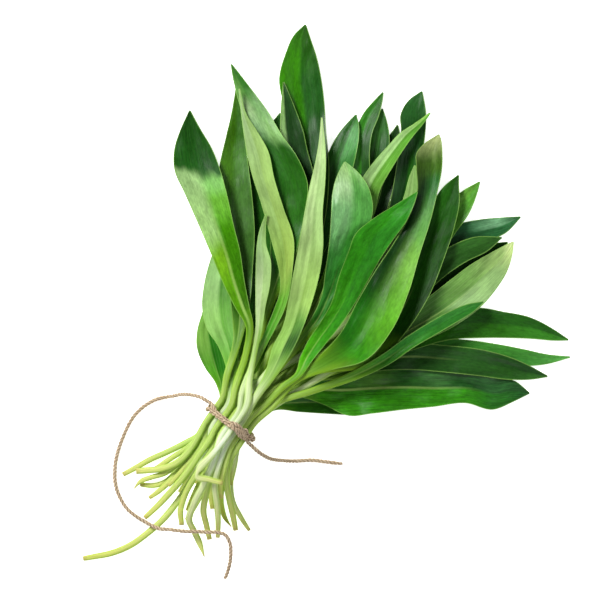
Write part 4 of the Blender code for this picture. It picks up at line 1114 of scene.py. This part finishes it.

# By leaf, where one differs from the rest: how streaked it is, where the stronger streaks are
# painted sheen, a shine rubbed dull, how wide its midrib shows in mm, how strongly, how deep
# its dents are in metres, where across it the two halves' colours meet, which on many leaves
# is where a painted lit half meets a painted shaded one, and how softly.
STREAKS_AND_PAINTED_SHEEN = {
    "big_bottom": 0.25, "glossy_centre": 0.14, "right_bluish": 0.16, "centre_back": 0.14,
    "left_outer": 0.12, "bright_strip": 0.12, "big_pale_right": 0.14,
}
DULL = {
    "left_outer": 0.05, "big_curved": 0.1, "dark_channelled": 0.04, "big_bright": 0.12,
    "tallest": 0.16, "right_sliver": 0.06,
}
WIDE_RIB = {"big_bottom": 1.1, "left_outer": 1.3, "right_midribbed": 0.9}
STRONG_RIB = {
    "big_bottom": 0.8, "left_outer": 0.6, "big_curved": 0.05, "right_midribbed": 0.6,
    "big_pale_right": 0.75,
}
DENTED = {
    "big_bottom": 0.0036, "right_midribbed": 0.003, "glossy_centre": 0.0028, "far_right": 0.0026,
}
FOLD_AT = {"upper_narrow": 0.5}
SOFT_FOLD = {
    "big_curved": 0.75, "left_outer": 0.3, "upper_left": 0.3, "glossy_centre": 0.25,
    "left_tall": 0.3,
}
print(len(NOISES), "noises make the pattern of a leaf")

# %% Patterns that every part of a leaf shares


def leaf_patterns(tree, name):
    """The outputs of both attributes, of the four noises stretched along the leaf, and of
    the veins, which are lines where cos(pi * veins * u) is near 1, u being the share of the
    half width."""
    place = add_node(tree, "Attribute", output=1, attribute_name="place")
    part = add_node(tree, "Attribute", output=1, attribute_name="part")
    aside, along, u = add_node(tree, "SeparateXYZ", [place], EVERY)
    blade, grown, rim = add_node(tree, "SeparateXYZ", [part], EVERY)
    at = SimpleNamespace(aside=aside, along=along, u=u, blade=blade, grown=grown, rim=rim)
    for title, (scale, step, detail) in NOISES.items():
        moved = tuple(each * len(name) for each in step)
        stretched = add_node(tree, "Mapping", {"Vector": place, "Location": moved, "Scale": scale})
        noise = {"Vector": stretched, "Scale": 1.0, "Detail": detail}
        setattr(at, title, add_node(tree, "TexNoise", noise))
    for title, count in (("veins", STRONG_VEINS), ("fine", FINE_VEINS)):
        angle = add_node(tree, "Math", [u, math.pi * count], operation="MULTIPLY")
        setattr(at, title, add_node(tree, "Math", [angle], operation="COSINE"))
    return at


print("strong veins:", int(STRONG_VEINS), "and fine ones:", int(FINE_VEINS))

# %% The colour of the blade


def blade_colour(tree, name, face, halves, at):
    """The blade: two ramps from foot to tip, one for each half, that meet softly at the fold.
    Besides the leaf's own greens the ramps hold painted light: pale bands of painted sheen, and
    painted shade on a half or a stretch that faces away from the lamp. Clouds, streaks, pores
    and a tint multiply it, and the stronger streaks of some leaves are painted sheen; veins,
    midrib and rim lie over it, and the lighter rim is partly a painted highlight."""
    off = add_node(tree, "Math", [at.cloud, 0.5], operation="SUBTRACT")
    wander = add_node(tree, "Math", [off, 0.12], operation="MULTIPLY")
    along = add_node(tree, "Math", [at.grown, wander], operation="ADD", use_clamp=True)
    left, right = (add_node(tree, "ValToRGB", [along], stops=stops) for stops in halves)
    # Where the halves meet: on many leaves a painted lit half meets a painted shaded one.
    fold = add_node(tree, "Math", [at.u, FOLD_AT.get(name, 0.0)], operation="SUBTRACT")
    bend = add_node(tree, "Math", [wander, 0.6], operation="MULTIPLY")
    fold = add_node(tree, "Math", [fold, bend], operation="ADD")
    soft = SOFT_FOLD.get(name, 0.14)
    side = add_node(tree, "MapRange", [fold, -soft, soft], interpolation_type="SMOOTHSTEP")
    blade = add_node(tree, "Mix", [side, right, left], **COLOURS)
    # Streaks along the leaf: the stronger ones of some leaves are painted streaks of sheen.
    streak_and_sheen = STREAKS_AND_PAINTED_SHEEN.get(name, 0.05)
    for shade in (
        add_node(tree, "MapRange", [at.cloud, 0.3, 0.7, 0.8, 1.2]),
        add_node(tree, "MapRange", [at.streak, 0.35, 0.7, 1 - streak_and_sheen, 1 + 1.4 * streak_and_sheen]),
        add_node(tree, "MapRange", [at.pores, 0.36, 0.64, *GRAIN[face]]),
        TINT[face],
    ):
        blade = add_node(tree, "Mix", [1.0, blade, shade], **MULTIPLIED)
    wide, strong = WIDE_RIB.get(name, 0.6), STRONG_RIB.get(name, RIB_SHOWS[face])
    away = add_node(tree, "Math", [at.aside], operation="ABSOLUTE")
    on_rib = add_node(tree, "MapRange", [away, wide, 0.15], interpolation_type="SMOOTHSTEP")
    fading = add_node(tree, "Math", [strong, at.grown], operation="SUBTRACT", use_clamp=True)
    for line, share, colour in (
        (add_node(tree, "MapRange", [at.veins, 0.8, 1.0]), VEIN_SHOWS[face], VEIN_COLOUR[face]),
        (on_rib, fading, "#b8d878"),
        # The lighter rim: partly the paler margin of the leaf, partly a painted highlight along its edge.
        (add_node(tree, "MapRange", [at.rim, 0.6, 0.1]), 0.6, "#8fbf5a"),
    ):
        faint = add_node(tree, "Math", [line, share], operation="MULTIPLY")
        blade = add_node(tree, "Mix", [faint, blade, colour], **COLOURS)
    return blade


print("the upper face is tinted by", TINT["upper"][:3])

# %% The colour of the stalk, and the relief


def stalk_colour(tree, stalk, at):
    """The stalk: a ramp from its cut, through the tie at about 0.6, to the foot of the
    blade, with fine stripes along it. Painted shade turns its sides greener, away from a
    lighter band a little off its middle that is a painted highlight, so that it looks round."""
    place = add_node(tree, "Math", [at.grown, 1.0], operation="ADD", use_clamp=True)
    stem = add_node(tree, "ValToRGB", [place], stops=stalk)
    stripe = add_node(tree, "MapRange", [at.streak, 0.3, 0.7, 0.8, 1.15])
    stem = add_node(tree, "Mix", [1.0, stem, stripe], **MULTIPLIED)
    # Painted shade: the sides turn greener away from a lighter band a little off the middle, and that
    # band is a painted highlight.
    off = add_node(tree, "Math", [at.u, 0.15], operation="SUBTRACT")
    away = add_node(tree, "Math", [off], operation="ABSOLUTE")
    painted_side_shade = add_node(tree, "MapRange", [away, 0.25, 0.95], interpolation_type="SMOOTHSTEP")
    share = add_node(tree, "Math", [painted_side_shade, 0.6], operation="MULTIPLY")
    return add_node(tree, "Mix", [share, stem, "#8cb824"], **COLOURS)


def leaf_relief(tree, name, at):
    """The bump of a leaf: 0.25 veins + 0.3 fine veins + 2.5 streaks + 1.5 pores, in steps of
    0.05 mm, over the broad dents of a blade that has been handled."""
    height = 0.0
    for pattern, share in ((at.veins, 0.25), (at.fine, 0.3), (at.streak, 2.5), (at.pores, 1.5)):
        height = add_node(tree, "Math", [pattern, share, height], operation="MULTIPLY_ADD")
    bump = add_node(tree, "Bump", {"Height": height, "Distance": 0.00005, "Strength": 0.6})
    dents = add_node(tree, "Math", [at.waves, at.blade], operation="MULTIPLY")
    deep = DENTED.get(name, 0.0016)
    broad = {"Height": dents, "Distance": deep, "Strength": 0.8, "Normal": bump}
    return add_node(tree, "Bump", broad)


print("the deepest dents are", round(max(DENTED.values()) / MM, 1), "mm in the bump")

# %% The finish of a leaf
CUT_BROWN = 3.0


def leaf_finish(name, face, look):
    """A fresh leaf, grown under trees: thin wax over a skin of fine cells. The wax gives the
    upper face a broad soft shine, and the underside scatters the light and looks pale. look
    holds the colour stops of the stalk and of the left and right half of the blade, which
    besides the leaf's own greens hold painted sheen and painted shade. The stalk has turned
    brown over its last 3 mm, where it was cut."""
    stalk, *halves = (colour_stops(text) for text in look)
    made, tree, shader = new_finish(name + "_fresh_leaf_" + SURFACE[face])
    at = leaf_patterns(tree, name)
    stem = stalk_colour(tree, stalk, at)
    blade = blade_colour(tree, name, face, halves, at)
    colour = add_node(tree, "Mix", [at.blade, stem, blade], **COLOURS)
    cut = add_node(tree, "MapRange", [at.along, CUT_BROWN, 0.0])
    share = add_node(tree, "Math", [cut, 0.6], operation="MULTIPLY")
    colour = add_node(tree, "Mix", [share, colour, "#b39a5a"], **COLOURS)
    rough = add_node(tree, "MapRange", [at.cloud, 0.3, 0.7, *ROUGHNESS[face]])
    fill(tree, shader.inputs["Base Color"], colour)
    fill(tree, shader.inputs["Roughness"], rough)
    fill(tree, shader.inputs["IOR"], 1.45)
    fill(tree, shader.inputs["Specular IOR Level"], DULL.get(name, GLOSS[face]))
    fill(tree, shader.inputs["Normal"], leaf_relief(tree, name, at))
    return made


print("roughness", ROUGHNESS["upper"], "of the upper face and", ROUGHNESS["under"], "of the other")

# %% [markdown]
# ## The colours of each leaf
# No two leaves are the same green: age and which face is up change it. The stops paint the
# light as well: pale bands in them are painted sheen, and a half or a bend that faces away
# from the lamp is painted darker, as painted shade. Each leaf that shows has its own stops,
# from the foot of the blade to its tip, for its left and its right half; a leaf without an
# entry is a plain dark green one. Every leaf has one of four kinds of stalk, yellowish at the
# cut and green at the blade, and some are white between; the darker green towards the blade
# is partly painted shade, where the stalks sink between the bases of the blades.

# %% Colours, leaf by leaf


def colour_stops(text):
    """Stops of a ramp from words such as "18 #5c9a14": a place in hundredths of the way
    along, and the colour there."""
    pairs = (stop.split() for stop in text.split(", "))
    return [(float(place) / 100, code) for place, code in pairs]


# The stalks' colours: the greener end towards the blade, in STALK_GREEN above all, is partly the stalks'
# own green and partly painted shade, dark between the bases of the blades.
STALK_GREEN = "0 #d4d878, 35 #c0d878, 66 #b2ce6c, 85 #8cb444, 100 #5f9424"
STALK_PALE = "0 #d8e080, 30 #dce8ac, 45 #e4f0d4, 80 #ccdfa4, 100 #9cc068"
STALK_LONG = "0 #ccd468, 38 #c8d880, 46 #dfebc4, 66 #d8e6bc, 100 #8cb850"
STALK_DARK = "0 #8f8f3c, 30 #9fb850, 70 #6f9a28, 100 #4a8a18"
PLAIN = (STALK_GREEN, "0 #2a6a10, 100 #1c4d14", "0 #2a6a10, 100 #1c4d14")
# Painted light in these stops: the pale bands of left_outer, upper_left and glossy_centre, and the
# lighter stops on the dark half of big_bottom, are painted sheen; the dark tip of left_outer, the dark
# halves of big_curved and big_bottom and the dark band at the foot of pale_ribbon_long are painted shade.
LEAF_COLOURS_AND_PAINTED_LIGHT = {
    "leaf_left_outer": (STALK_GREEN,
        "0 #3a6f06, 18 #5c9a14, 32 #70a520, 45 #94b87c, 70 #90b080, 75.5 #1c4d18, 100 #173f12",
        "0 #386010, 30 #38740a, 45 #3c7c0a, 58 #5f9a34, 68 #74a862, 72.5 #184814, 100 #1a4614"),
    "leaf_left_tall": (STALK_GREEN,
        "0 #3a6c1c, 50 #42702f, 62 #3f6e18, 80 #366404, 100 #568434",
        "0 #2c5418, 50 #3f6a2c, 68 #44742f, 78 #2c5a10, 100 #42702a"),
    "leaf_pale_ribbon_left": (STALK_PALE,
        "0 #2f8a0c, 20 #4f9a20, 30 #7ca044, 60 #86a862, 100 #8aa878",
        "0 #2f8a0c, 20 #5fa030, 32 #84a448, 70 #86a85c, 100 #7c9c60"),
    "leaf_upper_left": (STALK_GREEN,
        "0 #1f5214, 61 #1f5a10, 69 #86ac84, 80 #94b08c, 88 #5a8a48, 100 #2a6410",
        "0 #2a6a14, 60 #1f5410, 69 #7fa870, 80 #6a9460, 90 #2c6a1c, 100 #245814"),
    "leaf_tallest": (STALK_GREEN,
        "0 #184010, 50 #1f4f14, 62 #2f7408, 85 #357c0a, 100 #265c08",
        "0 #12300a, 50 #174210, 75 #1c5018, 100 #265a0c"),
    "leaf_upper_narrow": (STALK_GREEN,
        "0 #173f10, 50 #1c4a18, 62 #8fb080, 90 #7fa868, 100 #1f5212",
        "0 #122f0c, 60 #163a14, 100 #1a4614"),
    "leaf_pale_ribbon_long": (STALK_PALE,
        "0 #5f9430, 15 #7fac50, 35 #94b868, 70 #a8c888, 100 #b4cc98",
        "0 #3f7a18, 13 #27520f, 20 #4a7c28, 30 #86ac54, 70 #9cc07c, 100 #a4c488"),
    "leaf_glossy_centre": (STALK_GREEN,
        "0 #2a6a1c, 45 #328030, 70 #74a878, 85 #98b894, 100 #86a874",
        "0 #2c6c20, 50 #368430, 80 #4f8f48, 100 #74a064"),
    "leaf_pale_ribbon_upper": (STALK_PALE,
        "0 #6fa040, 40 #8fb870, 80 #98c47c, 100 #7fb84c",
        "0 #4f8a28, 50 #5a9030, 100 #4f9428"),
    "leaf_upper_dark": (STALK_GREEN,
        "0 #14380e, 60 #17421a, 100 #1f5420",
        "0 #24601a, 60 #2a6c1c, 80 #1c4e1c, 100 #1f5420"),
    "leaf_big_curved": (STALK_GREEN,
        "0 #1c5a08, 20 #1f6414, 40 #103410, 75 #0c280e, 87 #35501a, 100 #9ca878",
        "0 #14500a, 12 #2c7810, 25 #5aa028, 50 #74a84c, 66 #568c48, 80 #2f6a34, 87 #3f6420, 100 #b4bc8c"),
    "leaf_big_bright": (STALK_GREEN,
        "0 #52ac0e, 30 #44a016, 60 #36941c, 100 #2a7e18",
        "0 #3c9414, 40 #30821c, 75 #328828, 100 #2a7420"),
    "leaf_dark_channelled": (STALK_GREEN,
        "0 #123608, 60 #17420c, 100 #245a18",
        "0 #123408, 60 #1a460e, 100 #1c4c12"),
    "leaf_light_right": (STALK_GREEN,
        "0 #4f8a30, 100 #5f9a38",
        "0 #4f8a30, 100 #4f9030"),
    "leaf_right_bluish": (STALK_GREEN,
        "0 #143c20, 70 #1c5230, 88 #6fa084, 100 #1f5a34",
        "0 #123418, 70 #174526, 100 #2c6a40"),
    "leaf_right_narrow": (STALK_GREEN,
        "0 #1f4a18, 100 #2f5f24",
        "0 #1c4414, 100 #245018"),
    "leaf_right_sliver": (STALK_GREEN,
        "0 #122c0a, 100 #173a10",
        "0 #122c0a, 100 #173a10"),
    "leaf_big_pale_right": (STALK_PALE,
        "0 #1f3c14, 45 #3f6c2c, 70 #6c9a4c, 90 #94b86c, 100 #bcd090",
        "0 #3a6c24, 45 #5f9444, 60 #98c080, 80 #8cb470, 100 #b0c880"),
    "leaf_far_right": (STALK_GREEN,
        "0 #163c0e, 50 #1f5214, 100 #245e18",
        "0 #1c4c10, 60 #2a6614, 100 #357a24"),
    "leaf_bright_strip": (STALK_GREEN,
        "0 #3f8a1c, 50 #2f7a30, 100 #3f8f3c",
        "0 #2f7414, 100 #2a7428"),
    "leaf_far_right_low": (STALK_GREEN,
        "0 #245e1c, 70 #3f8434, 100 #4f9a48",
        "0 #245e1c, 70 #377a30, 100 #4f9a48"),
    "leaf_right_midribbed": (STALK_GREEN,
        "0 #1c4814, 50 #234f1c, 100 #1a4418",
        "0 #1a4210, 60 #1f4a18, 100 #2a5c20"),
    "leaf_big_bottom": (STALK_PALE,
        "0 #3a7a18, 20 #2f661c, 33 #447428, 48 #1c4f14, 60 #3a6a38, 70 #1a4a1c, 85 #2a5830, 100 #1f4c24",
        "0 #44901a, 30 #2f7a10, 70 #2f7c10, 88 #1f5c18, 100 #1c4c24"),
    "leaf_bottom_dark": (STALK_DARK,
        "0 #2a6610, 100 #1c4c14",
        "0 #2a6610, 100 #1c4c14"),
    "leaf_left_pale": (STALK_LONG,
        "0 #3f8f14, 30 #7fb05c, 60 #94c07c, 100 #6a9c48",
        "0 #2f7a10, 30 #5f9a3c, 60 #4a8434, 100 #3a7424"),
    "leaf_left_lowest": (STALK_GREEN,
        "0 #3f8f10, 40 #6fa044, 100 #5f9430",
        "0 #1f6a08, 40 #24700c, 100 #3f8424"),
    "leaf_narrow_on_top": (STALK_PALE,
        "0 #94ac74, 40 #98b080, 80 #86a870, 100 #789c58",
        "0 #5f9030, 30 #88a868, 70 #88aa6c, 100 #6a9048"),
    "leaf_centre_back": (STALK_GREEN,
        "0 #14380e, 60 #1c4a16, 100 #245c1c",
        "0 #1f5218, 60 #357434, 90 #3f8440, 100 #2a6620"),
    "leaf_folded_back": (STALK_GREEN,
        "0 #2f7a10, 70 #2f7a14, 100 #2a6c1c",
        "0 #122f0a, 70 #1c4a14, 100 #2a661c"),
    "leaf_back_slim": (STALK_GREEN,
        "0 #1a4510, 80 #2c6420, 100 #2f7020",
        "0 #173c10, 100 #24581c"),
    "leaf_back_dark": (STALK_GREEN,
        "0 #122f0a, 100 #163c10",
        "0 #122f0a, 100 #163c10"),
    "leaf_pale_tip": (STALK_PALE,
        "0 #6a9c48, 100 #86b064",
        "0 #5f9440, 100 #7fac5c"),
}
print(len(LEAF_COLOURS_AND_PAINTED_LIGHT), "leaves have colours of their own")

# %% [markdown]
# ## The shape of a leaf
# The drawn edges are joined by a smooth curve, and the blade between them is a grid: one
# way along the leaf, the other across it. Its height is the height at which it was laid,
# plus a shallow V that rises from the midrib, plus the keel, plus ripples that grow toward
# the rim. A second grid below gives it the thickness of a real leaf, about 0.4 mm, and the
# stalk's section is a full ellipse, so the same grid runs from the cut end to the tip.

# %% The parts of a leaf's height
ROWS_EACH_MM = 0.9
POINTS_ACROSS = 23
MIDDLE = POINTS_ACROSS // 2
REAL_THICK = 0.38
RIM_REAL = 0.12
SOFTENED_ROWS = 5
RIPPLED = {
    "leaf_left_outer": 1.0, "leaf_big_pale_right": 0.9, "leaf_upper_left": 0.9,
    "leaf_big_bright": 0.6, "leaf_pale_ribbon_left": 0.9, "leaf_big_bottom": 0.9,
    "leaf_left_pale": 0.9,
}
FLAT_RIB = {"leaf_big_curved": 0.1}


def softened(values, reach):
    """Each column smoothed along the leaf, with its two ends kept where they are."""
    made = np.stack([blurred(column, reach) for column in values.T], axis=1)
    fade = np.clip(np.arange(len(values)) / (2 * reach), 0, 1)
    fade = np.minimum(fade, fade[::-1])[:, None]
    return values * (1 - fade) + made * fade


def ripples(rng, s, u, half, size):
    """Waves that grow toward the rim: size * |u| ** 2.2 * (wave / 2 + 0.35), where wave is
    sin(s / 6 + phase) + sin(s / 3.1 + 2 phase) / 2 and each half has its own phase."""
    phase = np.where(u > 0, rng.uniform(0, 6), rng.uniform(0, 6))[None, :]
    wave = np.sin(s[:, None] / rng.uniform(5, 7.5) + phase)
    wave = wave + 0.5 * np.sin(s[:, None] / 3.1 + 2 * phase)
    return size * np.abs(u) ** 2.2 * (wave * 0.5 + 0.35) * np.clip(half / 8, 0, 1)


def thickness(u, blade, slim):
    """Of a stalk an ellipse, rim + (middle - rim) * sqrt(1 - u * u); of a blade nearly even,
    and thinner over the last eighth before its rim."""
    stalk = RIM_REAL + (STALK_THICK * 0.9 * slim - RIM_REAL) * np.sqrt(np.clip(1 - u * u, 0, 1))
    flat = REAL_THICK * (0.25 + 0.75 * np.clip((1 - np.abs(u)) / 0.12, 0, 1) ** 0.5)
    return stalk * (1 - blade) + flat * blade


print("a blade is", REAL_THICK, "mm thick on", POINTS_ACROSS, "points across")

# %% One leaf, laid
LOWEST = 0.02
LOWEST_TOP = 0.25
THINNEST = 0.1


def leaf_sheet(leaf, seed):
    """Points, faces and attributes of one laid leaf. Its middle sheet is h(s) + tilt(s) * x,
    x being the distance from the midrib, plus the V of its two halves, ripples and pleats.
    Its faces are half the thickness above and below that, and the midrib is a groove in the
    upper face and a keel under it."""
    rng = np.random.default_rng(seed)
    stations, lift, *_ = laid[leaf[0]]
    along, *_ = leaf_outline(leaf)
    tie, foot = tie_and_foot(leaf, along)
    s = np.linspace(0, along[-1], int(along[-1] / ROWS_EACH_MM))
    s = along[-1] * (s / along[-1] + 0.04 * np.sin(s / along[-1] * math.pi))
    u = np.sin(np.linspace(-math.pi / 2, math.pi / 2, POINTS_ACROSS))
    plan, top, under, aside, blade = leaf_grid(leaf, s, u)
    below_tie = np.clip((tie - s) / 12, 0, 1)
    thinned = rng.uniform(0.0, 0.2) * below_tie + rng.uniform(0.1, 0.45) * np.exp(-s / 9)
    slim = (1 - (1 - blade) * thinned)[:, None]
    plan = plan[:, [MIDDLE]] + (plan - plan[:, [MIDDLE]]) * slim[..., None]
    aside = aside * slim
    coarse = leaf_grid(leaf, stations)[3]
    slant = (lift[:, 4] - lift[:, 0]) / (coarse[:, 4] - coarse[:, 0])
    height, tilt = (np.interp(s, stations, values) for values in (lift[:, 2], slant))
    height, tilt = softened(np.stack([height, tilt], axis=1), SOFTENED_ROWS).T
    blade = blade[:, None]
    half = np.abs(aside[:, -1:])
    toward_tip = np.clip((s - foot) / (along[-1] - foot), 0, 1)[:, None]
    ripple = ripples(rng, s, u, half, RIPPLED.get(leaf[0], 0.45) * blade)
    pleats = 0.10 * blade * np.cos(math.pi * 3.5 * u) * np.clip(half / 6, 0, 1)
    sheet = height[:, None] + tilt[:, None] * aside + (top + under) / 2 + ripple + pleats
    rib = np.exp(-((aside / 0.9) ** 2)) * blade * (1 - 0.75 * toward_tip)
    rib = rib * FLAT_RIB.get(leaf[0], 1.0)
    thick = thickness(u, blade, slim)
    groove, keel = (-0.30, 0.45) if leaf[1] == "upper" else (0.55, -0.1)
    upper_side = np.maximum(sheet + thick / 2 + groove * rib, LOWEST_TOP)
    lower_side = np.maximum(sheet - thick / 2 - keel * rib, LOWEST)
    lower_side = np.minimum(lower_side, upper_side - THINNEST)
    above, below = (
        np.concatenate([plan, side[..., None]], axis=2) for side in (upper_side, lower_side)
    )
    rings = np.concatenate([above, below[:, ::-1]], axis=1)
    rows, around = rings.shape[:2]
    j = np.arange(POINTS_ACROSS - 1)
    first = np.stack([j, j + 1, around - 2 - j, around - 1 - j], axis=1)
    last = first[:, ::-1] + (rows - 1) * around
    faces = np.concatenate([grid_faces(rows, around)[:, ::-1], first, last])
    grown = np.interp(s, [0, tie, foot, along[-1]], [-1, -0.4, 0, 1])[:, None]
    values = (aside, s[:, None], u[None, :], blade, grown, half * (1 - np.abs(u)))
    both = [np.concatenate([v, v[:, ::-1]], axis=1) for v in np.broadcast_arrays(*values)]
    place, part = (np.stack(three, axis=-1).reshape(-1, 3) for three in (both[:3], both[3:]))
    return rings.reshape(-1, 3), faces, {"place": place, "part": part}


print("a leaf of 200 mm has about", round(200 / ROWS_EACH_MM), "rows of points")

# %% All the leaves
total_faces = 0
for number, leaf in enumerate(LEAVES):
    points, faces, attributes = leaf_sheet(leaf, number)
    short = leaf[0].replace("leaf_", "")
    finish = leaf_finish(short, leaf[1], LEAF_COLOURS_AND_PAINTED_LIGHT.get(leaf[0], PLAIN))
    made = piece(short + "_leaf", points, faces, finish, attributes)
    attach(made, "root")
    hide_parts(leaf[0])
    total_faces += len(made.data.polygons)
print(len(LEAVES), "leaves with", total_faces, "faces")

# %% [markdown]
# ## Table and light
# The picture is a bright studio one: a white table with almost no shadow, and light from a
# large soft source at the top left that lays a broad shine on the waxy leaves. A lit table
# shows no shadow at all, so this one glows a little. A square lamp gives the shine, two
# weak ones fill the dark sides, and a faint world keeps the gaps from going black. More of
# the shine, and of the shade, is painted into the leaves' colours.

# %% Table and light
TABLE_HALF = 2
TABLE_DOWN = -0.0004


def table_sheet():
    """Opal acrylic, a milky cast sheet lit from below: white, matt and even, so that it
    drowns shadows. It is a stage, and no piece of the part."""
    finish, tree, shader = new_finish("matt_opal_acrylic_lit_from_below")
    fill(tree, shader.inputs["Base Color"], "#f8f8f8")
    fill(tree, shader.inputs["Emission Color"], "#ffffff")
    fill(tree, shader.inputs["Emission Strength"], 0.82)
    fill(tree, shader.inputs["Roughness"], 0.9)
    fill(tree, shader.inputs["Specular IOR Level"], 0.1)
    corners = ((-1, -1), (1, -1), (1, 1), (-1, 1))
    mesh = bpy.data.meshes.new("table")
    points = [(x * TABLE_HALF, y * TABLE_HALF, TABLE_DOWN) for x, y in corners]
    mesh.from_pydata(points, [], [(0, 1, 2, 3)])
    mesh.materials.append(finish)
    made = bpy.data.objects.new("table", mesh)
    scene.collection.objects.link(made)
    return made


def soft_lamp(name, place, power, size):
    """A square area lamp that faces the middle of the bunch."""
    lamp = bpy.data.objects.new(name, bpy.data.lights.new(name, "AREA"))
    lamp.data.energy = power
    lamp.data.size = size
    lamp.location = place
    lamp.rotation_mode = "QUATERNION"
    lamp.rotation_quaternion = (-Vector(place)).to_track_quat("-Z", "Y")
    scene.collection.objects.link(lamp)
    return lamp


table = table_sheet()
lamps = (
    soft_lamp("window_light", (-0.75, 0.75, 0.95), 25.5, 0.45),
    soft_lamp("fill_light", (1.0, 0.1, 0.9), 4.4, 1.0),
    soft_lamp("low_fill_light", (-0.2, -1.0, 0.8), 4.8, 1.0),
)
world = bpy.data.worlds.new("studio")
world.use_nodes = True
sky = world.node_tree.nodes["Background"]
fill(world.node_tree, sky.inputs["Color"], "#ffffff")
fill(world.node_tree, sky.inputs["Strength"], 0.1)
scene.world = world
scene.view_settings.view_transform = "Standard"
print("lamps:", [(lamp.name, round(lamp.data.energy, 1)) for lamp in lamps])
